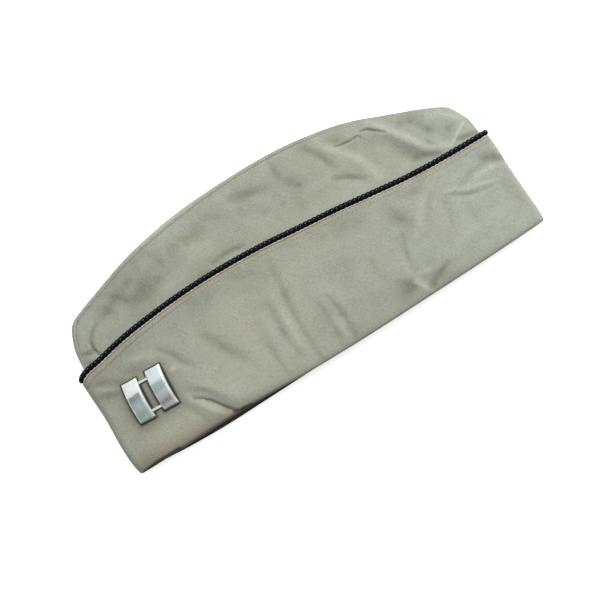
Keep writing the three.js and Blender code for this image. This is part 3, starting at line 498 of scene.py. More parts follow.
# One sheet of cloth or leather: a grid laid on its place, given its thickness and soft edges. Its marks are
# colours: one layer holds bleached and brown stains and dark marks, partly painted shade; the other holds
# pale marks, partly painted light, the half that takes the badge's painted shadow, and painted shadow
# lines.
def cloth_sheet(name, columns, rows, place, thickness, side=0, closed=False, takes_badge_shadow=0):
    bpy.ops.object.select_all(action="DESELECT")
    bpy.ops.mesh.primitive_grid_add(x_subdivisions=columns, y_subdivisions=rows, size=1)
    piece = bpy.context.object
    piece.name = name
    mesh = piece.data
    mesh.name = name
    flat = np.empty(len(mesh.vertices) * 3)
    mesh.vertices.foreach_get("co", flat)
    flat = flat.reshape(-1, 3)
    point, pattern = place(flat[:, 0] + 0.5, flat[:, 1] + 0.5)
    mesh.vertices.foreach_set("co", in_frame(point).ravel())
    corner = np.empty(len(mesh.loops), dtype=int)
    mesh.loops.foreach_get("vertex_index", corner)
    mesh.uv_layers.active.data.foreach_set("uv", (pattern[corner] / 1000).ravel())
    marks = upper_marks(*point[:, :2].T) if side > 0 else shared_marks(side, *point[:, :2].T)
    marks = np.clip(marks, 0, 1)
    rubs_light_and_shadow = np.stack([marks[:, PALE], np.full(len(marks), takes_badge_shadow), marks[:, SHADOW_LINE]], axis=-1)
    for title, parts in (("stains_and_shade", marks[:, :3]), ("rubs_light_and_shadow", rubs_light_and_shadow)):
        attribute = mesh.color_attributes.new(title, "FLOAT_COLOR", "POINT")
        attribute.data.foreach_set("color", np.hstack([parts, np.ones((len(parts), 1))]).ravel())
    if closed:
        bpy.ops.object.mode_set(mode="EDIT")
        bpy.ops.mesh.select_all(action="SELECT")
        bpy.ops.mesh.remove_doubles(threshold=MERGE_DISTANCE)
        bpy.ops.mesh.normals_make_consistent(inside=False)
        bpy.ops.object.mode_set(mode="OBJECT")
    wall = piece.modifiers.new("cloth thickness", "SOLIDIFY")
    wall.thickness = thickness / 1000
    wall.offset = 0
    bpy.ops.object.modifier_apply(modifier=wall.name)
    softened = piece.modifiers.new("soft edges", "BEVEL")
    softened.width = thickness * EDGE_SOFTNESS / 1000
    softened.segments = 2
    softened.limit_method = "ANGLE"
    softened.angle_limit = CORNER_ANGLE
    bpy.ops.object.modifier_apply(modifier=softened.name)
    bpy.ops.object.shade_smooth_by_angle(angle=SMOOTH_ANGLE)
    return piece


def edge_distance(side, along, up):
    share = np.linspace(0, 1, 400)
    edge_along, edge_up = panel_place(side, share, np.full(400, 2.0))
    nearest = np.full(np.shape(along), 1e9)
    for x, y in zip(edge_along, edge_up):
        nearest = np.minimum(nearest, (along - x) ** 2 + (up - y) ** 2)
    return np.sqrt(nearest)


ROWS_BELOW_CORD = 0.2
ROWS_TO_EDGE = 0.55
SEAM_WIDTH = 0.5
ALLOWANCE_RISE = 0.16
ALLOWANCE_IN = 1.3
SEAM_LOSS = 0.85
SEAM_FADES_FROM = 0.55
SEWN_TO = 0.70
PANEL_GRID = (420, 105)


def crown_panel(side):
    def place(u, v):
        share, turn = fold_columns(u, CAP_LENGTH, FOLD_RADIUS - CROWN_INSET)
        above = np.clip((v - ROWS_BELOW_CORD) / (1 - ROWS_BELOW_CORD), 0, 1)
        crowded = 2 - (1 - above) * (1 - ROWS_TO_EDGE * above)
        level = np.where(v < ROWS_BELOW_CORD, v / ROWS_BELOW_CORD, crowded)
        point = panel_point(side, share, level, PANEL_THICKNESS / 2, turn)
        to_edge = edge_distance(side, point[:, 0], point[:, 1])
        roll = EDGE_ROLL * (1 - np.sqrt(1 - np.clip(1 - to_edge / EDGE_ROLL, 0, 1) ** 2))
        channel = SEAM_CHANNEL * np.exp(-(((to_edge - EDGE_SEAM_IN) / SEAM_WIDTH) ** 2))
        allowance = ALLOWANCE_RISE * ease(-np.abs(to_edge - ALLOWANCE_IN), -1.0, 0)
        sewn = 1 - SEAM_LOSS * ease(share, SEAM_FADES_FROM, SEWN_TO)
        point[..., 2] += side * ((allowance - channel) * sewn - roll) * np.sin(turn)
        extra = np.where(u < 0.5, -1, 1) * (math.pi / 2 - turn) * FOLD_RADIUS
        return point, np.stack([point[:, 0] + extra, point[:, 1]], axis=-1)

    name = "crown_panel_left" if side > 0 else "crown_panel_right"
    return cloth_sheet(name, *PANEL_GRID, place, PANEL_THICKNESS, side)


def add_node(tree, kind, inputs=None, **settings):
    node = tree.nodes.new(kind)
    for name, value in settings.items():
        setattr(node, name, value)
    for socket, value in (inputs or {}).items():
        if isinstance(value, bpy.types.NodeSocket):
            tree.links.new(value, node.inputs[socket])
        else:
            node.inputs[socket].default_value = value
    return node


def arithmetic(tree, operation, *values):
    return add_node(tree, "ShaderNodeMath", dict(enumerate(values)), operation=operation).outputs[0]


def new_group(name, inputs, outputs):
    group = bpy.data.node_groups.new(name, "ShaderNodeTree")
    for title, kind in inputs:
        group.interface.new_socket(title, in_out="INPUT", socket_type=kind)
    for title, kind in outputs:
        group.interface.new_socket(title, in_out="OUTPUT", socket_type=kind)
    return group, group.nodes.new("NodeGroupInput").outputs, group.nodes.new("NodeGroupOutput").inputs


def twill_weave_group():
    group, given, out = new_group(
        "twill weave",
        [("Vector", "NodeSocketVector"), ("Thread pitch", "NodeSocketFloat")],
        [("Height", "NodeSocketFloat"), ("Slub", "NodeSocketFloat")],
    )
    split = add_node(group, "ShaderNodeSeparateXYZ", {0: given["Vector"]}).outputs
    turns = arithmetic(group, "DIVIDE", 2 * math.pi, given["Thread pitch"])
    warp = arithmetic(group, "MULTIPLY", split["X"], turns)
    weft = arithmetic(group, "MULTIPLY", split["Y"], turns)
    over = arithmetic(group, "MULTIPLY", arithmetic(group, "SINE", warp), arithmetic(group, "SINE", weft))
    both_ways = arithmetic(group, "ADD", warp, weft)
    diagonal = arithmetic(group, "SINE", arithmetic(group, "DIVIDE", both_ways, 3.0))
    threads = arithmetic(group, "MULTIPLY_ADD", diagonal, 0.7, over)
    slub = []
    for stretch in [(420, 2500, 1), (2500, 420, 1)]:
        turned = add_node(group, "ShaderNodeMapping", {"Vector": given["Vector"], "Scale": stretch})
        noise = add_node(group, "ShaderNodeTexNoise",
                         {"Vector": turned.outputs[0], "Scale": 1.0, "Detail": 2.0, "Roughness": 0.6})
        slub.append(noise.outputs["Fac"])
    both = arithmetic(group, "ADD", slub[0], slub[1])
    group.links.new(arithmetic(group, "SUBTRACT", both, 1.0), out["Slub"])
    group.links.new(arithmetic(group, "MULTIPLY_ADD", both, 3.0, threads), out["Height"])
    return group


def mottling_group():
    group, given, out = new_group(
        "soft mottling",
        [("Vector", "NodeSocketVector")],
        [("Broad", "NodeSocketFloat"), ("Cloud", "NodeSocketFloat"), ("Speckle", "NodeSocketFloat")],
    )
    for title, scale, detail in [("Broad", 26.0, 2.0), ("Cloud", 95.0, 3.0), ("Speckle", 1150.0, 2.0)]:
        noise = add_node(group, "ShaderNodeTexNoise",
                         {"Vector": given["Vector"], "Scale": scale, "Detail": detail, "Roughness": 0.55})
        spread = add_node(group, "ShaderNodeMapRange",
                          {"Value": noise.outputs["Fac"], "From Min": 0.3, "From Max": 0.7})
        group.links.new(spread.outputs[0], out[title])
    return group


TWILL = twill_weave_group()
MOTTLING = mottling_group()


def mixed_colour(tree, factor, a, b):
    node = add_node(tree, "ShaderNodeMix", data_type="RGBA")
    for socket, value in ((0, factor), (6, a), (7, b)):
        if isinstance(value, bpy.types.NodeSocket):
            tree.links.new(value, node.inputs[socket])
        else:
            node.inputs[socket].default_value = value
    return node.outputs[2]


def clamped(tree, value):
    return add_node(tree, "ShaderNodeClamp", {0: value}).outputs[0]


def painted(tree, layer):
    colour = add_node(tree, "ShaderNodeVertexColor", layer_name=layer).outputs["Color"]
    return add_node(tree, "ShaderNodeSeparateColor", {0: colour}).outputs


def add_relief(tree, shader, height, strength, distance):
    bump = add_node(tree, "ShaderNodeBump", {"Strength": strength, "Distance": distance, "Height": height})
    tree.links.new(bump.outputs[0], shader.inputs["Normal"])


def new_material(name, base, roughness, metallic=0.0):
    material = bpy.data.materials.new(name)
    material.use_nodes = True
    shader = material.node_tree.nodes["Principled BSDF"]
    shader.inputs["Base Color"].default_value = (*base, 1)
    shader.inputs["Roughness"].default_value = roughness
    shader.inputs["Metallic"].default_value = metallic
    return material, material.node_tree, shader


# The badge lies on the left half of the curtain, and a shadow round its bars and under its links is painted
# into that half's cloth. Its rear bar stands a little further along than its front bar, each by the
# stagger.
BAR_LENGTH = 25.4
BAR_WIDTH = 10.0
BAR_SPACE = 5.85
BAR_STAGGER = 0.4
BADGE_LEAN = math.radians(4)
LINK_UP = 8.9
LINK_SHADOW = 1.0
BADGE_SHADOW_WIDTH = 0.8
BADGE_SHADOW_SPREAD = 3.6
BADGE_SHADOW_HALO = 0.28
LINK_SHADOW_FALLOFF = 2.5


# Painted shadow of the badge on the cloth: dark close round each bar with a soft wider halo, and a band
# under each link
def badge_shadow_group():
    group, given, out = new_group(
        "badge painted shadow",
        [("Vector", "NodeSocketVector")],
        [("Painted shadow", "NodeSocketFloat")],
    )
    turned = add_node(group, "ShaderNodeMapping", {
        "Vector": given["Vector"], "Location": (BADGE_ALONG / 1000, BADGE_UP / 1000, 0),
        "Rotation": (0, 0, -BADGE_LEAN), "Scale": (0.001, 0.001, 0.001)}, vector_type="TEXTURE")
    split = add_node(group, "ShaderNodeSeparateXYZ", {0: turned.outputs[0]}).outputs
    middle = (BAR_SPACE + BAR_WIDTH) / 2
    bar_side = arithmetic(group, "SIGN", split["X"])
    along_bar = arithmetic(group, "MULTIPLY_ADD", bar_side, -BAR_STAGGER, split["Y"])
    from_bar = arithmetic(group, "SUBTRACT", arithmetic(group, "ABSOLUTE", split["X"]), middle)
    squares = []
    for place, half in ((from_bar, BAR_WIDTH / 2), (along_bar, BAR_LENGTH / 2)):
        past = arithmetic(group, "SUBTRACT", arithmetic(group, "ABSOLUTE", place), half)
        past = arithmetic(group, "MAXIMUM", past, 0.0)
        squares.append(arithmetic(group, "MULTIPLY", past, past))
    square = arithmetic(group, "ADD", *squares)
    narrow = arithmetic(group, "EXPONENT", arithmetic(group, "MULTIPLY", square, -1 / BADGE_SHADOW_WIDTH ** 2))
    wide = arithmetic(group, "EXPONENT", arithmetic(group, "MULTIPLY", square, -1 / BADGE_SHADOW_SPREAD ** 2))
    shadowed = arithmetic(group, "MULTIPLY_ADD", wide, BADGE_SHADOW_HALO, narrow)
    beside = arithmetic(group, "SUBTRACT", arithmetic(group, "ABSOLUTE", split["X"]), BAR_SPACE / 2)
    beside = arithmetic(group, "MAXIMUM", beside, 0.0)
    for under in (LINK_UP - LINK_SHADOW, -LINK_UP - LINK_SHADOW):
        past = arithmetic(group, "SUBTRACT", split["Y"], under)
        square = arithmetic(group, "ADD", arithmetic(group, "MULTIPLY", past, past),
                            arithmetic(group, "MULTIPLY", beside, beside))
        shadow = arithmetic(group, "EXPONENT", arithmetic(group, "MULTIPLY", square, -LINK_SHADOW_FALLOFF))
        shadowed = arithmetic(group, "MAXIMUM", shadowed, shadow)
    group.links.new(shadowed, out["Painted shadow"])
    return group


BADGE_SHADOW_GROUP = badge_shadow_group()
THREAD_PITCH = 0.00045


def khaki_material():
    material, tree, shader = new_material("khaki cotton", (0.31, 0.32, 0.26), 0.92)
    shader.inputs["Specular IOR Level"].default_value = 0.25
    shader.inputs["Sheen Weight"].default_value = 0.12
    shader.inputs["Sheen Roughness"].default_value = 0.5
    coordinates = add_node(tree, "ShaderNodeTexCoord").outputs
    weave = add_node(tree, "ShaderNodeGroup", {"Vector": coordinates["UV"], "Thread pitch": THREAD_PITCH},
                     node_tree=TWILL)
    mottle = add_node(tree, "ShaderNodeGroup", {"Vector": coordinates["Object"]}, node_tree=MOTTLING)
    badge_shadow = add_node(tree, "ShaderNodeGroup", {"Vector": coordinates["UV"]}, node_tree=BADGE_SHADOW_GROUP)
    stains_and_shade = painted(tree, "stains_and_shade")
    rubs_light_and_shadow = painted(tree, "rubs_light_and_shadow")
    greenish = (0.268, 0.289, 0.236, 1)
    brownish = (0.278, 0.264, 0.209, 1)
    browned = (0.190, 0.122, 0.074, 1)
    shaded = (0.104, 0.108, 0.074, 1)
    pale = (0.390, 0.398, 0.327, 1)
    bleached = (0.282, 0.328, 0.292, 1)
    badge_shadow_tone = (0.035, 0.033, 0.020, 1)
    shadow_line_tone = (0.020, 0.012, 0.008, 1)
    colour = mixed_colour(tree, mottle.outputs["Broad"], brownish, greenish)
    for title, strength, tone in (("Red", 0.8, bleached), ("Green", 0.55, browned)):
        share = arithmetic(tree, "MULTIPLY", stains_and_shade[title], strength)
        colour = mixed_colour(tree, share, colour, tone)
    dark_share = arithmetic(tree, "MULTIPLY", mottle.outputs["Cloud"], 0.12)
    colour = mixed_colour(tree, dark_share, colour, shaded)
    # Dark marks: painted shade in folds, over slopes and towards the lower edge, and darker patches of
    # cloth
    cloud = arithmetic(tree, "MULTIPLY_ADD", mottle.outputs["Cloud"], 0.5, 0.6)
    dark = arithmetic(tree, "MULTIPLY", stains_and_shade["Blue"], 0.92)
    dark_share = clamped(tree, arithmetic(tree, "MULTIPLY", dark, cloud))
    colour = mixed_colour(tree, dark_share, colour, shaded)
    # Pale marks: painted light on the backs of folds and over slopes, and rubbed patches
    pale_share = arithmetic(tree, "MULTIPLY", rubs_light_and_shadow["Red"], 0.7)
    colour = mixed_colour(tree, pale_share, colour, pale)
    pale_share = arithmetic(tree, "MULTIPLY", mottle.outputs["Speckle"], 0.22)
    colour = mixed_colour(tree, pale_share, colour, pale)
    slub_share = clamped(tree, arithmetic(tree, "MULTIPLY_ADD", weave.outputs["Slub"], 1.1, 0.10))
    colour = mixed_colour(tree, slub_share, colour, shaded)
    # Painted shadow round the badge's bars and under its links, only on the half that carries the badge
    shadowed = clamped(tree, arithmetic(tree, "MULTIPLY", badge_shadow.outputs["Painted shadow"], rubs_light_and_shadow["Green"]))
    colour = mixed_colour(tree, shadowed, colour, badge_shadow_tone)
    # Painted shadow line, near black, along the lower edge and in sharp creases
    colour = mixed_colour(tree, rubs_light_and_shadow["Blue"], colour, shadow_line_tone)
    tree.links.new(colour, shader.inputs["Base Color"])
    add_relief(tree, shader, weave.outputs["Height"], 0.5, 0.00012)
    return material


KHAKI = khaki_material()


def dress(piece, material, slot, *nodes):
    piece.data.materials.clear()
    piece.data.materials.append(material)
    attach(piece, "root")
    if nodes:
        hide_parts(*nodes)
    return piece


crown_left = dress(crown_panel(1), KHAKI, "khaki_cloth", "crown_left")
crown_right = dress(crown_panel(-1), KHAKI, "khaki_cloth", "crown_right")

# Gusset: the folded strip of the same cloth let in between the two panels along the top, deepest at the
# middle of the crown, which opens like a V when the cap is worn.
GUSSET_THICKNESS = 0.8
GUSSET_DEPTH = 11.0
GUSSET_END_DEPTH = 4.0
GUSSET_FOLD = 1.4
GUSSET_FROM = 0.045
GUSSET_TAPER = 0.16
GUSSET_LEG = 0.36
GUSSET_GRID = (240, 30)


def gusset_leg(side, share, distance):
    top_along, top_up = panel_place(side, share, np.full(np.shape(share), 2.0))
    cord_along, cord_height = panel_place(side, share, np.full(np.shape(share), 1.0))
    length = np.hypot(top_along - cord_along, top_up - cord_height)
    inward = PANEL_THICKNESS + CLEARANCE + GUSSET_THICKNESS / 2
    return panel_point(side, share, 2 - distance / length, inward, np.full(np.shape(share), math.pi / 2))


def gusset_place(u, v):
    share = mix(GUSSET_FROM, 1 - GUSSET_FROM, u)
    from_end = np.minimum(share, 1 - share) - GUSSET_FROM
    straight = mix(GUSSET_END_DEPTH, GUSSET_DEPTH, ease(from_end, 0, GUSSET_TAPER)) - GUSSET_FOLD
    across = np.minimum(v, 1 - v)
    distance = mix(CLEARANCE, straight, np.minimum(across / GUSSET_LEG, 1))
    bend = np.clip((across - GUSSET_LEG) / (0.5 - GUSSET_LEG), 0, 1) * math.pi / 2
    upper_end, lower_end = gusset_leg(1, share, straight), gusset_leg(-1, share, straight)
    middle = (upper_end[:, 2] + lower_end[:, 2]) / 2
    reach = distance + GUSSET_FOLD * np.sin(bend)
    upper, lower = gusset_leg(1, share, reach), gusset_leg(-1, share, reach)
    upper[:, 2] = np.where(bend > 0, middle + (upper_end[:, 2] - middle) * np.cos(bend), upper[:, 2])
    lower[:, 2] = np.where(bend > 0, middle + (lower_end[:, 2] - middle) * np.cos(bend), lower[:, 2])
    point = np.where((v < 0.5)[:, None], upper, lower)
    return point, np.stack([share * CAP_LENGTH, v * (2 * GUSSET_DEPTH + 3)], axis=-1)


gusset = dress(cloth_sheet("crown_gusset_strip", *GUSSET_GRID, gusset_place, GUSSET_THICKNESS), KHAKI,
               "khaki_cloth", "crown_gusset")

# Crown stitching: one row of thread through both panels and the gusset's edge, just inside the upper
# edge, from the front fold to where the edge rolls out of sight. Olive thread, a little darker than the
# cloth.
STITCH_WIDTH = 0.42
CROWN_STITCH_PITCH = 1.85
CROWN_STITCH_LENGTH = 1.25
EDGE_SEAM_REAR = 1.6
STITCH_LEAN = 0.06
STITCH_SIDES = 6
STITCH_RINGS = 5
STITCH_TAPER = 0.55
STITCH_FLATNESS = 0.75
STITCH_DIP = 0.55
STITCH_PROUD = 0.08
random = np.random.default_rng(7)


def one_stitch():
    bpy.ops.object.select_all(action="DESELECT")
    bpy.ops.mesh.primitive_cylinder_add(vertices=STITCH_SIDES, radius=0.5, depth=1, end_fill_type="NGON",
                                        rotation=(0, math.pi / 2, 0))
    template = bpy.context.object
    bpy.ops.object.transform_apply(location=False, rotation=True, scale=False)
    bpy.ops.object.mode_set(mode="EDIT")
    bpy.ops.mesh.select_all(action="DESELECT")
    bpy.ops.mesh.select_mode(type="EDGE")
    bpy.ops.object.mode_set(mode="OBJECT")
    for edge in template.data.edges:
        ends = [template.data.vertices[index].co.x for index in edge.vertices]
        edge.select = abs(ends[0] - ends[1]) > 0.5
    bpy.ops.object.mode_set(mode="EDIT")
    bpy.ops.mesh.subdivide(number_cuts=STITCH_RINGS - 2)
    bpy.ops.object.mode_set(mode="OBJECT")
    for vertex in template.data.vertices:
        end = abs(vertex.co.x) * 2
        slim = 1 - STITCH_TAPER * end ** 4
        vertex.co.y *= slim
        vertex.co.z = vertex.co.z * STITCH_FLATNESS * slim - STITCH_DIP * end ** 3
    corners = np.array([vertex.co[:] for vertex in template.data.vertices])
    faces = [tuple(face.vertices) for face in template.data.polygons]
    bpy.data.objects.remove(template, do_unlink=True)
    return corners, faces


STITCH_CORNERS, STITCH_FACES = one_stitch()


def mesh_piece(name, corners, faces):
    mesh = bpy.data.meshes.new(name)
    mesh.from_pydata(corners.tolist(), [], faces)
    mesh.validate()
    mesh.shade_smooth()
    piece = bpy.data.objects.new(name, mesh)
    bpy.context.scene.collection.objects.link(piece)
    return piece


def along_path(path, pitch):
    run = distance_along(path)
    marks = np.linspace(0, run[-1], max(2, int(round(run[-1] / pitch)) + 1))
    return sampled(path, run, (marks[:-1] + marks[1:]) / 2)


def laid_on(piece, path, side):
    placed = []
    for x, y in path:
        start = ((x - CAP_LENGTH / 2) / 1000, (y - CROWN_HEIGHT / 2) / 1000, 0.1 * side)
        hit, spot, normal, _ = piece.ray_cast(start, (0, 0, -side))
        if hit:
            placed.append((np.array(spot), np.array(normal)))
    return placed


def add_stitch(corners, faces, own, centre, forward, sideways, normal):
    base = len(corners) * len(STITCH_CORNERS)
    corners.append(centre + own[:, :1] * forward + own[:, 1:2] * sideways + own[:, 2:] * normal)
    faces.extend(tuple(base + index for index in face) for face in STITCH_FACES)


def stitch_row(name, piece, path, side, pitch, length, material, width=STITCH_WIDTH):
    fine = along_path(path, pitch / 8)
    placed = laid_on(piece, fine, side)
    spots = np.array([spot for spot, _ in placed])
    normals = np.array([normal for _, normal in placed])
    run = distance_along(spots)
    corners, faces = [], []
    mark = pitch / 2000
    while mark < run[-1] - length / 2000:
        marks = [mark + share * length / 1000 for share in (-0.5, 0, 0.5)]
        before, here, after = (sampled(spots, run, place) for place in marks)
        normal = sampled(normals, run, mark)
        forward = unit(after - before)
        normal = unit(normal - forward * normal.dot(forward))
        sideways = np.cross(normal, forward)
        lean = random.normal(0, STITCH_LEAN)
        forward, sideways = forward + lean * sideways, sideways - lean * forward
        own = STITCH_CORNERS * (length * random.uniform(0.9, 1.08), width, width) / 1000
        centre = here + normal * width * STITCH_PROUD / 1000
        add_stitch(corners, faces, own, centre, forward, sideways, normal)
        mark += pitch / 1000 * random.uniform(0.96, 1.04)
    row = mesh_piece(name, np.concatenate(corners), faces)
    return dress(row, material, "khaki_cloth")


def thread_material(name, base):
    material, tree, shader = new_material(name, base, 0.75)
    coordinates = add_node(tree, "ShaderNodeTexCoord").outputs
    mottle = add_node(tree, "ShaderNodeGroup", {"Vector": coordinates["Object"]}, node_tree=MOTTLING)
    dull = tuple(part * 0.62 for part in base)
    share = arithmetic(tree, "MULTIPLY", mottle.outputs["Cloud"], 0.8)
    tree.links.new(mixed_colour(tree, share, (*base, 1), (*dull, 1)), shader.inputs["Base Color"])
    twist = add_node(tree, "ShaderNodeTexNoise", {"Vector": coordinates["Object"], "Scale": 4200.0})
    add_relief(tree, shader, twist.outputs[0], 0.4, 0.00005)
    return material


def beside_edge(edge, inset):
    tangent = unit(np.gradient(edge, axis=0))
    return edge + np.stack([tangent[:, 1], -tangent[:, 0]], axis=-1) * inset[:, None]


def edge_row_path(side):
    share = np.linspace(0.004, SEWN_TO, 500)
    edge = np.stack(panel_place(side, share, np.full(500, 2.0)), axis=-1)
    inset = mix(EDGE_SEAM_IN, EDGE_SEAM_REAR, ease(share, 0.45, SEWN_TO))
    return beside_edge(edge, inset)


OLIVE_THREAD = thread_material("olive thread", (0.135, 0.115, 0.070))
for side, panel, word in ((1, crown_left, "left"), (-1, crown_right, "right")):
    stitch_row(f"crown_stitching_{word}", panel, edge_row_path(side), side, CROWN_STITCH_PITCH,
               CROWN_STITCH_LENGTH, OLIVE_THREAD)

# Sweatband: a band of thin dark brown leather inside the lower edge, one loop sewn round. It shows where
# the upper half of the curtain is drawn back, and leather is a reading of its colour.
LEATHER_THICKNESS = 1.0
SWEATBAND_HEIGHT = 28.0
SWEATBAND_DROP = 0.1
SWEATBAND_SET_BACK = 9.0
SWEATBAND_FOLD = 3.0
SWEATBAND_STAND_OFF = 0.5
SWEATBAND_GRID = (420, 60)


def sweatband_place(u, v):
    inward = PANEL_THICKNESS + CLEARANCE + SWEATBAND_STAND_OFF + LEATHER_THICKNESS / 2
    own = np.where(u < 0.5, 2 * u, 2 - 2 * u)
    half_share, turn = fold_columns(own, CAP_LENGTH - 2 * SWEATBAND_SET_BACK, SWEATBAND_FOLD)
    share = mix(SWEATBAND_SET_BACK / CAP_LENGTH, 1 - SWEATBAND_SET_BACK / CAP_LENGTH, half_share)
    sides = []
    for side in (1, -1):
        _, bottom = panel_place(side, share, np.zeros(len(share)))
        _, beside = panel_place(side, share, np.ones(len(share)))
        up = SWEATBAND_DROP - CURTAIN_THICKNESS - CLEARANCE + v * SWEATBAND_HEIGHT
        sides.append(panel_point(side, share, up / (beside - bottom), inward, turn, 0))
    point = np.where((u < 0.5)[:, None], sides[0], sides[1])
    return point, np.stack([2 * u * CAP_LENGTH, v * SWEATBAND_HEIGHT], axis=-1)


def grain_group():
    group, given, out = new_group(
        "leather grain",
        [("Vector", "NodeSocketVector"), ("Scale", "NodeSocketFloat")],
        [("Height", "NodeSocketFloat"), ("Wear", "NodeSocketFloat")],
    )
    cells = add_node(group, "ShaderNodeTexVoronoi", {"Vector": given["Vector"], "Scale": given["Scale"]},
                     feature="DISTANCE_TO_EDGE")
    pores = add_node(group, "ShaderNodeTexNoise",
                     {"Vector": given["Vector"], "Scale": 240.0, "Detail": 4.0})
    cracks = add_node(group, "ShaderNodeMapRange", {"Value": cells.outputs[0], "From Max": 0.12})
    group.links.new(cracks.outputs[0], out["Height"])
    worn = add_node(group, "ShaderNodeMapRange",
                    {"Value": pores.outputs["Fac"], "From Min": 0.45, "From Max": 0.7})
    group.links.new(worn.outputs[0], out["Wear"])
    return group


GRAIN = grain_group()


def leather_material():
    material, tree, shader = new_material("dark brown leather", (0.045, 0.027, 0.017), 0.55)
    coordinates = add_node(tree, "ShaderNodeTexCoord").outputs
    grain = add_node(tree, "ShaderNodeGroup", {"Vector": coordinates["Object"], "Scale": 900.0},
                     node_tree=GRAIN)
    colour = mixed_colour(tree, grain.outputs["Wear"], (0.050, 0.033, 0.023, 1), (0.105, 0.070, 0.050, 1))
    # Painted shade: the leather darkens to near black towards the lower edge, in the gap under the curtain
    colour = mixed_colour(tree, painted(tree, "stains_and_shade")["Blue"], colour, (0.006, 0.004, 0.003, 1))
    tree.links.new(colour, shader.inputs["Base Color"])
    rough = add_node(tree, "ShaderNodeMapRange",
                     {"Value": grain.outputs["Wear"], "To Min": 0.48, "To Max": 0.75})
    tree.links.new(rough.outputs[0], shader.inputs["Roughness"])
    add_relief(tree, shader, grain.outputs["Height"], 0.5, 0.0001)
    return material


sweatband = dress(
    cloth_sheet("leather_sweatband", *SWEATBAND_GRID, sweatband_place, LEATHER_THICKNESS, closed=True),
    leather_material(), "brown_leather", "sweatband",
)

# Curtain: the turned-up band round the crown, two halves of doubled khaki cotton that meet at the front
# and rear folds. Each half has its hem rolled in under the crown's lower edge, and a piped border with
# two rows of stitching just below the cord.
HEM_RADIUS = 1.1
HEM_TURN = 0.7
HEM_ROWS = 0.02
ROLL_ROWS = 0.09
CORD_EASE = CORD_WIDTH / 2 - CURTAIN_THICKNESS / 2 - CORD_STAND_OFF - CURTAIN_EASE
BORDER_RISE = 0.22
BORDER_EDGE = 0.7
BORDER_SLOPE = 0.9
CHANNEL_WIDTH = 0.42
BORDER_GRID_FROM = 0.82
BORDER_FROM = 0.915
CURTAIN_GRID = (370, 100)


def curtain_point(side, share, row_share, hem_angle, turn, inward=0):
    inset = CURTAIN_THICKNESS / 2
    roll = HEM_RADIUS * (1 - np.cos(hem_angle))
    front = inset + END_EASE * smooth_curve(END_LEAN, 1, row_share) + roll
    rear = inset + END_EASE * smooth_curve(END_LEAN, 2, row_share) + roll
    along = mix(front, CAP_LENGTH - rear, share)
    bottom = lower_edge_up(side, along) + inset + HEM_RADIUS
    slope = (cord_up(along + 1) - cord_up(along - 1)) / 2
    top = cord_up(along) - CORD_TO_EDGE * np.hypot(1, slope)
    up = mix(bottom, top, row_share) - HEM_RADIUS * np.sin(hem_angle)
    below_top = (top - up) / np.hypot(1, slope)
    border = border_row(share) + BORDER_EDGE
    raised = BORDER_RISE * (1 - ease(below_top, border - BORDER_SLOPE, border))
    rows = (BORDER_OUTER_ROW, border_row(share))
    channels = sum(np.exp(-(((below_top - row) / CHANNEL_WIDTH) ** 2)) for row in rows)
    outward = CLEARANCE + CURTAIN_EASE + inset + CORD_EASE * beside_cord(along, up) - roll
    outward = outward + raised - SEAM_CHANNEL * channels
    point = layer_point(side, along, up, 1, outward, turn)
    point[..., 0] += np.where(share < 0.5, 1, -1) * inward * np.cos(turn)
    point[..., 2] -= side * inward * np.sin(turn)
    return point


def curtain_half(side):
    def place(u, v):
        share, turn = fold_columns(u, CAP_LENGTH, FOLD_RADIUS - CURTAIN_THICKNESS / 2)
        inward = np.clip((HEM_ROWS - v) / HEM_ROWS, 0, 1) * HEM_TURN
        hem_angle = np.clip((ROLL_ROWS - v) / (ROLL_ROWS - HEM_ROWS), 0, 1) * math.pi / 2
        body = np.clip((v - ROLL_ROWS) / (1 - ROLL_ROWS), 0, 1)
        row_share = np.interp(body, [0, BORDER_GRID_FROM, 1], [0, BORDER_FROM, 1])
        point = curtain_point(side, share, row_share, hem_angle, turn, inward)
        extra = np.where(u < 0.5, -1, 1) * (math.pi / 2 - turn) * FOLD_RADIUS
        return point, np.stack([point[:, 0] + extra, point[:, 1] - inward], axis=-1)

    name = "curtain_half_left" if side > 0 else "curtain_half_right"
    return cloth_sheet(name, *CURTAIN_GRID, place, CURTAIN_THICKNESS, side, takes_badge_shadow=max(side, 0))


curtain_left = dress(curtain_half(1), KHAKI, "khaki_cloth", "curtain_left")
curtain_right = dress(curtain_half(-1), KHAKI, "khaki_cloth", "curtain_right")

# Stitching of the curtain's border: two rows of pale thread on each half, browned with age towards the
# front, the first beside the cord's tape and the second along the border's inner edge.
CURTAIN_STITCH_PITCH = 2.25
CURTAIN_STITCH_LENGTH = 2.0
CURTAIN_STITCH_WIDTH = 0.36
OUTER_BROWNED_TO = 0.62
INNER_BROWNED_TO = 0.29
ROWS_END = 0.99


def border_path(side, inner, start, end):
    share = np.linspace(start, end, 700)
    turn = np.full(len(share), math.pi / 2)
    edge = curtain_point(side, share, np.ones(len(share)), 0 * share, turn)[:, :2]
    return beside_edge(edge, border_row(share) if inner else 0 * share + BORDER_OUTER_ROW)


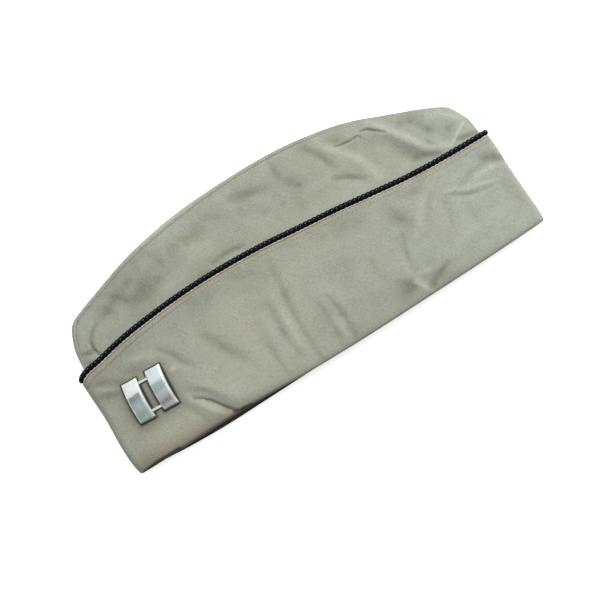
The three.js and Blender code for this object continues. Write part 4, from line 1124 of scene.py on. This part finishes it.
PALE_THREAD = thread_material("pale thread", (0.47, 0.42, 0.30))
BROWN_THREAD = thread_material("browned thread", (0.27, 0.155, 0.070))
for side, half, word in ((1, curtain_left, "left"), (-1, curtain_right, "right")):
    rows = (("outer", False, OUTER_BROWNED_TO), ("inner", True, INNER_BROWNED_TO))
    for row, inner, browned_to in rows:
        for part, start, end, thread in (("front", 0.0, browned_to, BROWN_THREAD),
                                         ("rear", browned_to + 0.002, ROWS_END, PALE_THREAD)):
            path = border_path(side, inner, start, end)
            stitch_row(f"border_stitching_{row}_{word}_{part}", half, path, side, CURTAIN_STITCH_PITCH,
                       CURTAIN_STITCH_LENGTH, thread, CURTAIN_STITCH_WIDTH)

# Cord: a round twisted cord of three black plies sewn along the curtain's upper edge, one loop round both
# sides, with a short piece of blue-grey thread once a turn in each groove, always at the same place round
# the cord, and a narrow cream tape holding it to the edge.
PLY_RADIUS = 0.80
PLY_OFFSET = 0.90
PLY_SIDES = 10
PLIES = 3
CORD_LAY = 8.7
THREAD_RADIUS = 0.2
THREAD_OFFSET = 1.22
THREAD_SHOWS = 0.36
THREAD_STEP = 0.05
THREAD_FACING = math.radians(68)
RING_SPACING = 0.42
LOOP_SAMPLES = 900


def even_loop(sides, spacing):
    path = np.concatenate([sides[0], sides[1][::-1][1:]])
    run = distance_along(path)
    count = int(run[-1] / spacing)
    marks = np.arange(count) * run[-1] / count
    return sampled(path, run, marks), marks, run[-1]


def loop_axes(path):
    forward = unit(np.roll(path, -1, axis=0) - np.roll(path, 1, axis=0))
    return forward, unit(np.array([0, 1, 0]) - forward * forward[:, 1:2])


def loop_columns():
    return fold_columns(np.linspace(0, 1, LOOP_SAMPLES), CAP_LENGTH, FOLD_RADIUS - CURTAIN_THICKNESS / 2)


def cord_loop(spacing=RING_SPACING):
    share, turn = loop_columns()
    sides = []
    for side in (1, -1):
        along = curtain_point(side, share, np.ones(len(share)), 0 * share, turn)[:, 0]
        lie = CLEARANCE + CORD_WIDTH / 2
        sides.append(layer_point(side, along, cord_up(along), np.ones(len(share)), lie, turn, 0))
    path, marks, length = even_loop(sides, spacing)
    forward, upward = loop_axes(path)
    return path, upward, np.cross(upward, forward), marks, length


def closed_tube(centre, radius, sides):
    forward, first = loop_axes(centre)
    second = np.cross(forward, first)
    angle = np.arange(sides) * 2 * math.pi / sides
    radius = np.broadcast_to(radius, len(centre))[:, None, None]
    rings = centre[:, None] + radius * (
        np.cos(angle)[None, :, None] * first[:, None] + np.sin(angle)[None, :, None] * second[:, None]
    )
    count = len(centre)
    ring, corner = np.meshgrid(np.arange(count), np.arange(sides), indexing="ij")
    after, other = (ring + 1) % count, (corner + 1) % sides
    faces = np.stack([ring * sides + corner, after * sides + corner, after * sides + other,
                      ring * sides + other], axis=-1)
    return rings.reshape(-1, 3), faces.reshape(-1, 4)


def around(angle, upward, outward):
    return np.cos(angle)[:, None] * upward + np.sin(angle)[:, None] * outward


def twisted(offset, radius, sides, plies):
    path, upward, outward, marks, length = cord_loop()
    turns = round(length / CORD_LAY)
    corners, faces, count = [], [], 0
    for ply in range(plies):
        angle = 2 * math.pi * (marks / length * turns + ply / plies)
        centre = path + offset * around(angle, upward, outward)
        tube, quads = closed_tube(centre, radius, sides)
        corners.append(tube)
        faces.append(quads + count)
        count += len(tube)
    return in_frame(np.concatenate(corners)), np.concatenate(faces).tolist()


def cord_material(name, base, glint, roughness):
    material, tree, shader = new_material(name, base, roughness)
    shader.inputs["Specular IOR Level"].default_value = 0.06
    coordinates = add_node(tree, "ShaderNodeTexCoord").outputs
    fibre = add_node(tree, "ShaderNodeTexNoise", {"Vector": coordinates["Object"], "Scale": 2600.0,
                                                  "Detail": 3.0})
    tree.links.new(mixed_colour(tree, fibre.outputs["Fac"], (*base, 1), (*glint, 1)),
                   shader.inputs["Base Color"])
    add_relief(tree, shader, fibre.outputs["Fac"], 0.5, 0.00008)
    return material


plies = mesh_piece("twisted_cord", *twisted(PLY_OFFSET, PLY_RADIUS, PLY_SIDES, PLIES))
BLACK_CORD = cord_material("black cord", (0.0012, 0.0016, 0.0030), (0.004, 0.006, 0.011), 0.75)
dress(plies, BLACK_CORD, "dark_cord", "braid")


def groove_threads():
    path, upward, outward, marks, length = cord_loop(THREAD_STEP)
    turns = round(length / CORD_LAY)
    corners, faces = [], []
    half = int(THREAD_SHOWS / THREAD_STEP)
    for groove in range(PLIES):
        angle = 2 * math.pi * (marks / length * turns + (groove + 0.5) / PLIES)
        facing = (angle + THREAD_FACING) / (2 * math.pi)
        centre = path + THREAD_OFFSET * around(angle, upward, outward)
        for turn in range(turns + 2):
            spot = int(np.argmin(np.abs(facing - turn)))
            if half < spot < len(centre) - half:
                start, here, end = centre[spot - half], centre[spot], centre[spot + half]
                forward = unit(end - start)
                normal = here - path[spot]
                normal = unit(normal - forward * normal.dot(forward))
                own = STITCH_CORNERS * (np.linalg.norm(end - start), 2 * THREAD_RADIUS, 2 * THREAD_RADIUS)
                add_stitch(corners, faces, own, here, forward, np.cross(normal, forward), normal)
    return in_frame(np.concatenate(corners)), faces


threads = mesh_piece("cord_thread", *groove_threads())
BLUE_THREAD = cord_material("blue-grey thread", (0.085, 0.125, 0.145), (0.16, 0.21, 0.235), 0.5)
dress(threads, BLUE_THREAD, "dark_cord")

TAPE_RADIUS = 0.26
TAPE_BELOW = 0.2
TAPE_SIDES = 8
TAPE_SPACING = 0.5
TAPE_SWELL = 0.18
TAPE_STAND_OFF = 0.1
SCALLOP = 0.12


def tape_tube():
    share, turn = loop_columns()
    sides = []
    for side in (1, -1):
        edge = curtain_point(side, share, np.ones(len(share)), 0 * share, turn)
        slope = (cord_up(edge[:, 0] + 1) - cord_up(edge[:, 0] - 1)) / 2
        up = edge[:, 1] - TAPE_BELOW * np.hypot(1, slope)
        lie = CLEARANCE + CURTAIN_EASE + CURTAIN_THICKNESS + CORD_EASE + BORDER_RISE + TAPE_STAND_OFF
        sides.append(layer_point(side, edge[:, 0], up, np.ones(len(share)), lie, turn, 0))
    path, marks, length = even_loop(sides, TAPE_SPACING)
    wave = np.sin(2 * math.pi * marks / length * round(length / (CORD_LAY / PLIES)))
    path[:, 1] += SCALLOP * wave
    corners, faces = closed_tube(path, TAPE_RADIUS * (1 + TAPE_SWELL * wave), TAPE_SIDES)
    return in_frame(corners), faces.tolist()


tape = mesh_piece("cord_tape", *tape_tube())
dress(tape, thread_material("cream tape", (0.54, 0.48, 0.33)), "khaki_cloth")

# Badge: two bowed bars of silvered metal joined by two short links, with two posts and a pin behind the
# curtain. Stamped and soldered, satin with scratches and patches of tarnish, with painted reflections along
# the bars, painted highlights on their chamfers and painted shade at their lower ends and front long sides.
BAR_THICKNESS = 1.5
BAR_BOW = 1.1
BAR_CURVE = 0.6
BAR_BEVEL = 0.16
BAR_CHAMFER = 1.15
BAR_CUTS = 23
END_FLARE = 0.1
LOWER_FLARE = 0.3
LINK_WIDTH = 1.5
LINK_THICKNESS = 1.0
LINK_RISE = 0.45
LINK_INSET = 3.8
POST_WIDTH = 1.4
POST_SPACING = 15.0
PIN_WIDTH = 1.0


def curtain_face(along, up):
    return upper_face(np.array(along), np.array(up), 1) + CLEARANCE + CURTAIN_EASE + CURTAIN_THICKNESS


def badge_plane():
    reach = BAR_SPACE / 2 + BAR_WIDTH / 2
    rear, front = (curtain_face(BADGE_ALONG + step, BADGE_UP) for step in (reach, -reach))
    above, below = (curtain_face(BADGE_ALONG, BADGE_UP + step) for step in (reach, -reach))
    slope_along, slope_up = (rear - front) / (2 * reach), (above - below) / (2 * reach)
    middle = curtain_face(BADGE_ALONG, BADGE_UP)
    across, upward = np.meshgrid(np.linspace(-1, 1, 9) * (BAR_SPACE / 2 + BAR_WIDTH),
                                 np.linspace(-1, 1, 9) * BAR_LENGTH / 2)
    flat = middle + slope_along * across + slope_up * upward
    clear = max(0, float(np.max(curtain_face(BADGE_ALONG + across, BADGE_UP + upward) - flat)))
    height = float(middle) + clear + CLEARANCE
    return (
        Matrix.Translation(((BADGE_ALONG - CAP_LENGTH / 2) / 1000, (BADGE_UP - CROWN_HEIGHT / 2) / 1000,
                            height / 1000))
        @ Matrix.Rotation(-math.atan(slope_along), 4, "Y")
        @ Matrix.Rotation(math.atan(slope_up), 4, "X")
        @ Matrix.Rotation(-BADGE_LEAN, 4, "Z")
    )


BADGE_PLANE = badge_plane()


def finish_metal(piece, width, segments, zone=0.0, across=0.0, curve=0.0, shift=0.0):
    edges = piece.modifiers.new("worn edges", "BEVEL")
    edges.width = width / 1000
    edges.segments = segments
    edges.limit_method = "ANGLE"
    edges.angle_limit = math.radians(25)
    bpy.ops.object.modifier_apply(modifier=edges.name)
    places = piece.data.color_attributes.new("place on the bar", "FLOAT_COLOR", "POINT")
    for vertex, place in zip(piece.data.vertices, places.data):
        y = vertex.co.y * 1000 / BAR_LENGTH
        x = (vertex.co.x * 1000 - across + curve * (1 - 4 * y * y)) / BAR_WIDTH
        place.color = (x + 0.5, y + 0.5, zone, 1)
    piece.data.transform(BADGE_PLANE @ Matrix.Translation((0, shift / 1000, 0)))
    bpy.ops.object.shade_smooth_by_angle(angle=math.radians(30))


def bar(name, across, zone):
    bpy.ops.object.select_all(action="DESELECT")
    bpy.ops.mesh.primitive_cube_add(size=1, location=(across / 1000, 0, BAR_THICKNESS / 2000),
                                    scale=(BAR_WIDTH / 1000, BAR_LENGTH / 1000, BAR_THICKNESS / 1000))
    piece = bpy.context.object
    piece.name = name
    bpy.ops.object.transform_apply(location=True, rotation=True, scale=True)
    bpy.ops.object.mode_set(mode="EDIT")
    bpy.ops.mesh.select_mode(type="EDGE")
    bpy.ops.mesh.select_all(action="DESELECT")
    bpy.ops.object.mode_set(mode="OBJECT")
    top = BAR_THICKNESS / 1000 - 1e-6
    for edge in piece.data.edges:
        ends = [piece.data.vertices[index].co for index in edge.vertices]
        edge.select = all(end.z > top for end in ends) and abs(ends[0].y - ends[1].y) > 1e-4
    bpy.ops.object.mode_set(mode="EDIT")
    bpy.ops.mesh.bevel(offset=BAR_CHAMFER / 1000, offset_type="WIDTH", segments=1, affect="EDGES")
    bpy.ops.mesh.select_all(action="DESELECT")
    bpy.ops.object.mode_set(mode="OBJECT")
    for edge in piece.data.edges:
        ends = [piece.data.vertices[index].co for index in edge.vertices]
        edge.select = abs(ends[0].y - ends[1].y) > 1e-4
    bpy.ops.object.mode_set(mode="EDIT")
    bpy.ops.mesh.subdivide(number_cuts=BAR_CUTS)
    bpy.ops.object.mode_set(mode="OBJECT")
    for vertex in piece.data.vertices:
        x, y = vertex.co.x * 1000 - across, vertex.co.y * 1000
        end = abs(2 * y / BAR_LENGTH)
        flare = (LOWER_FLARE if y < 0 and x > 0 else END_FLARE) * end ** 5
        vertex.co.x += (flare * x / BAR_WIDTH * 2 - BAR_CURVE * (1 - end ** 2)) / 1000
        vertex.co.z += BAR_BOW * (1 - end ** 2) / 1000
    finish_metal(piece, BAR_BEVEL, 3, zone, across, BAR_CURVE, math.copysign(BAR_STAGGER, across))
    return piece


def wear_group():
    group, given, out = new_group(
        "metal wear",
        [("Vector", "NodeSocketVector")],
        [("Scratches", "NodeSocketFloat"), ("Tarnish", "NodeSocketFloat")],
    )
    lines = []
    for turn, stretch in ((0.5, (2600, 160, 300)), (-1.0, (3200, 190, 300))):
        turned = add_node(group, "ShaderNodeMapping",
                          {"Vector": given["Vector"], "Rotation": (0, 0, turn), "Scale": stretch})
        noise = add_node(group, "ShaderNodeTexNoise",
                         {"Vector": turned.outputs[0], "Scale": 1.0, "Detail": 2.0})
        line = add_node(group, "ShaderNodeMapRange",
                        {"Value": noise.outputs["Fac"], "From Min": 0.58, "From Max": 0.72})
        lines.append(line.outputs[0])
    group.links.new(arithmetic(group, "MAXIMUM", *lines), out["Scratches"])
    cloud = add_node(group, "ShaderNodeTexNoise", {"Vector": given["Vector"], "Scale": 330.0, "Detail": 5.0,
                                                   "Roughness": 0.6})
    dull = add_node(group, "ShaderNodeMapRange", {"Value": cloud.outputs["Fac"], "From Min": 0.42,
                                                  "From Max": 0.68})
    group.links.new(dull.outputs[0], out["Tarnish"])
    return group


METAL_WEAR = wear_group()


def tone_ramp(tree, place, tones):
    ramp = add_node(tree, "ShaderNodeValToRGB", {0: place})
    elements = ramp.color_ramp.elements
    while len(elements) < len(tones):
        elements.new(0.5)
    for element, (position, tone) in zip(elements, tones):
        element.position = position
        element.color = (*tone, 1)
    return ramp.outputs[0]


# Painted reflections on the front and the rear bar, dark, grey and white bands from their lower to their
# upper end
FRONT_REFLECTIONS = [
    (0.0, (0.28, 0.33, 0.29)), (0.09, (0.42, 0.48, 0.43)), (0.18, (0.35, 0.41, 0.37)),
    (0.32, (0.43, 0.50, 0.47)), (0.45, (0.40, 0.48, 0.47)), (0.57, (0.22, 0.29, 0.31)),
    (0.65, (0.26, 0.33, 0.35)), (0.69, (0.92, 0.95, 0.91)), (1.0, (0.88, 0.93, 0.91)),
]
REAR_REFLECTIONS = [
    (0.0, (0.40, 0.44, 0.40)), (0.09, (0.52, 0.51, 0.48)), (0.18, (0.26, 0.24, 0.21)),
    (0.30, (0.52, 0.51, 0.48)), (0.40, (0.56, 0.60, 0.56)), (0.50, (0.36, 0.44, 0.47)),
    (0.64, (0.42, 0.51, 0.54)), (0.72, (0.86, 0.91, 0.90)), (0.80, (0.78, 0.88, 0.88)),
    (1.0, (0.68, 0.81, 0.82)),
]


def silver_material():
    material, tree, shader = new_material("worn silver", (0.62, 0.64, 0.63), 0.3, 0.7)
    coordinates = add_node(tree, "ShaderNodeTexCoord").outputs
    wear = add_node(tree, "ShaderNodeGroup", {"Vector": coordinates["Object"]}, node_tree=METAL_WEAR)
    place = painted(tree, "place on the bar")
    across = arithmetic(tree, "SUBTRACT", place["Red"], 0.5)
    slanted = arithmetic(tree, "MULTIPLY_ADD", across, -0.05, place["Green"])
    cloud = arithmetic(tree, "SUBTRACT", wear.outputs["Tarnish"], 0.5)
    warped = arithmetic(tree, "MULTIPLY_ADD", cloud, 0.02, slanted)
    # Painted reflections along each bar
    front = tone_ramp(tree, warped, FRONT_REFLECTIONS)
    rear = tone_ramp(tree, warped, REAR_REFLECTIONS)
    colour = mixed_colour(tree, arithmetic(tree, "GREATER_THAN", place["Blue"], 0.75), front, rear)
    # Painted highlights on the chamfers along the bars' long sides, fainter towards the lower end
    rear_chamfer_highlight = arithmetic(tree, "GREATER_THAN", place["Red"], 0.83)
    front_chamfer_highlight = arithmetic(tree, "COMPARE", place["Red"], 0.075, 0.03)
    chamfer_highlight = arithmetic(tree, "MULTIPLY", arithmetic(tree, "MAXIMUM", rear_chamfer_highlight, front_chamfer_highlight), 0.75)
    towards_top = arithmetic(tree, "MULTIPLY_ADD", place["Green"], 0.6, 0.4)
    chamfer_highlight_share = arithmetic(tree, "MULTIPLY", chamfer_highlight, towards_top)
    colour = mixed_colour(tree, chamfer_highlight_share, colour, (0.88, 0.98, 0.93, 1))
    lower_end = arithmetic(tree, "LESS_THAN", place["Green"], 0.035)
    shaded = arithmetic(tree, "MAXIMUM", lower_end, arithmetic(tree, "LESS_THAN", place["Red"], 0.045))
    shaded = arithmetic(tree, "MULTIPLY", shaded, 0.85)
    colour = mixed_colour(tree, shaded, colour, (0.035, 0.045, 0.028, 1))
    on_link = arithmetic(tree, "COMPARE", place["Blue"], 0.5, 0.1)
    colour = mixed_colour(tree, on_link, colour, (0.78, 0.86, 0.80, 1))
    share = arithmetic(tree, "MULTIPLY", wear.outputs["Tarnish"], 0.35)
    colour = mixed_colour(tree, share, colour, (0.34, 0.37, 0.33, 1))
    share = arithmetic(tree, "MULTIPLY", wear.outputs["Scratches"], 0.4)
    colour = mixed_colour(tree, share, colour, (0.86, 0.88, 0.86, 1))
    tree.links.new(colour, shader.inputs["Base Color"])
    rough = add_node(tree, "ShaderNodeMapRange",
                     {"Value": wear.outputs["Tarnish"], "To Min": 0.2, "To Max": 0.36})
    tree.links.new(rough.outputs[0], shader.inputs["Roughness"])
    add_relief(tree, shader, wear.outputs["Scratches"], 0.12, 0.00004)
    return material


SILVER = silver_material()
bar_middle = BAR_SPACE / 2 + BAR_WIDTH / 2
front_bar = bar("badge_bar_front", -bar_middle, 0.0)
rear_bar = bar("badge_bar_rear", bar_middle, 1.0)
dress(front_bar, SILVER, "worn_silver", "rank_bars")
dress(rear_bar, SILVER, "worn_silver")


def link(name, up):
    bpy.ops.object.select_all(action="DESELECT")
    bpy.ops.mesh.primitive_cube_add(
        size=1, location=(0, up / 1000, (LINK_RISE + LINK_THICKNESS / 2) / 1000),
        scale=((BAR_SPACE + BAR_WIDTH) / 1000, LINK_WIDTH / 1000, LINK_THICKNESS / 1000))
    piece = bpy.context.object
    piece.name = name
    bpy.ops.object.transform_apply(location=True, rotation=True, scale=True)
    finish_metal(piece, 0.2, 3, 0.5)
    return dress(piece, SILVER, "worn_silver")


def rod(name, across, width, bottom, top, lying):
    bpy.ops.object.select_all(action="DESELECT")
    turn = (0, math.pi / 2, 0) if lying else (0, 0, 0)
    bpy.ops.mesh.primitive_cylinder_add(vertices=20, radius=width / 2000, depth=(top - bottom) / 1000,
                                        location=(across / 1000, 0, 0), rotation=turn)
    piece = bpy.context.object
    piece.name = name
    bpy.ops.object.transform_apply(location=True, rotation=True, scale=True)
    return piece


link("badge_link_lower", LINK_INSET - BAR_LENGTH / 2)
link("badge_link_upper", BAR_LENGTH / 2 - LINK_INSET)
PIN_UP = -(2 * CLEARANCE + CURTAIN_THICKNESS + PIN_WIDTH / 2)
for name, across in (("badge_post_front", -POST_SPACING / 2), ("badge_post_rear", POST_SPACING / 2)):
    post_top = BAR_BOW + BAR_THICKNESS / 2
    post = rod(name, across, POST_WIDTH, PIN_UP, post_top, False)
    post.data.transform(Matrix.Translation((0, 0, (PIN_UP + post_top) / 2000)))
    finish_metal(post, 0.15, 2)
    dress(post, SILVER, "worn_silver")
pin = rod("badge_pin", 0, PIN_WIDTH, -POST_SPACING / 2, POST_SPACING / 2, True)
pin.data.transform(Matrix.Translation((0, 0, PIN_UP / 1000)))
finish_metal(pin, 0.15, 2)
dress(pin, SILVER, "worn_silver")

# Floor, light and camera: a plain white floor, a large soft light from beyond the rear fold, a weaker one
# low over the crown, an even sky, and the camera straight above.
bpy.ops.object.select_all(action="DESELECT")
bpy.ops.mesh.primitive_plane_add(size=4, location=(0, 0, -0.0002))
floor = bpy.context.object
floor.name = "floor"
white, _, white_shader = new_material("white floor", (0.9, 0.9, 0.9), 0.9)
white_shader.inputs["Emission Color"].default_value = (1, 1, 1, 1)
white_shader.inputs["Emission Strength"].default_value = 0.6
floor.data.materials.append(white)

world = bpy.context.scene.world or bpy.data.worlds.new("studio")
bpy.context.scene.world = world
world.use_nodes = True
sky = world.node_tree.nodes["Background"]
aim = add_node(world.node_tree, "ShaderNodeTexCoord").outputs["Generated"]
parts = add_node(world.node_tree, "ShaderNodeSeparateXYZ", {0: aim}).outputs
towards = arithmetic(world.node_tree, "MULTIPLY_ADD", parts["Y"], 0.8, 0.16)
towards = arithmetic(world.node_tree, "MULTIPLY_ADD", parts["X"], 0.35, towards)
glow = clamped(world.node_tree, towards)
tone = mixed_colour(world.node_tree, glow, (0.42, 0.45, 0.465, 1), (1.0, 1.0, 0.98, 1))
world.node_tree.links.new(tone, sky.inputs[0])
sky.inputs[1].default_value = 1.0


def soft_light(name, place, aim, size, power):
    bpy.ops.object.light_add(type="AREA", location=place)
    light = bpy.context.object
    light.name = name
    light.data.size = size
    light.data.energy = power
    offset = [a - b for a, b in zip(aim, place)]
    length = math.sqrt(sum(part * part for part in offset))
    light.rotation_euler = (
        math.acos(-offset[2] / length),
        0,
        math.atan2(offset[1], offset[0]) - math.pi / 2,
    )
    return light


soft_light("key light", (0.58, 0.46, 1.05), (0, 0, 0), 0.55, 19)
soft_light("low light", (0.70, 0.90, 0.45), (0, 0, 0), 0.5, 6)

CAMERA_PLACE = (-0.00599, -0.02228, 0.650)
CAMERA_TURN = math.radians(-32.45)
CAMERA_LENS = 65.9
bpy.ops.object.camera_add(location=CAMERA_PLACE, rotation=(0, 0, CAMERA_TURN))
camera = bpy.context.object
camera.data.sensor_width = 36
camera.data.lens = CAMERA_LENS
camera.data.clip_start = 0.01
bpy.context.scene.camera = camera
bpy.context.scene.view_settings.view_transform = "Standard"
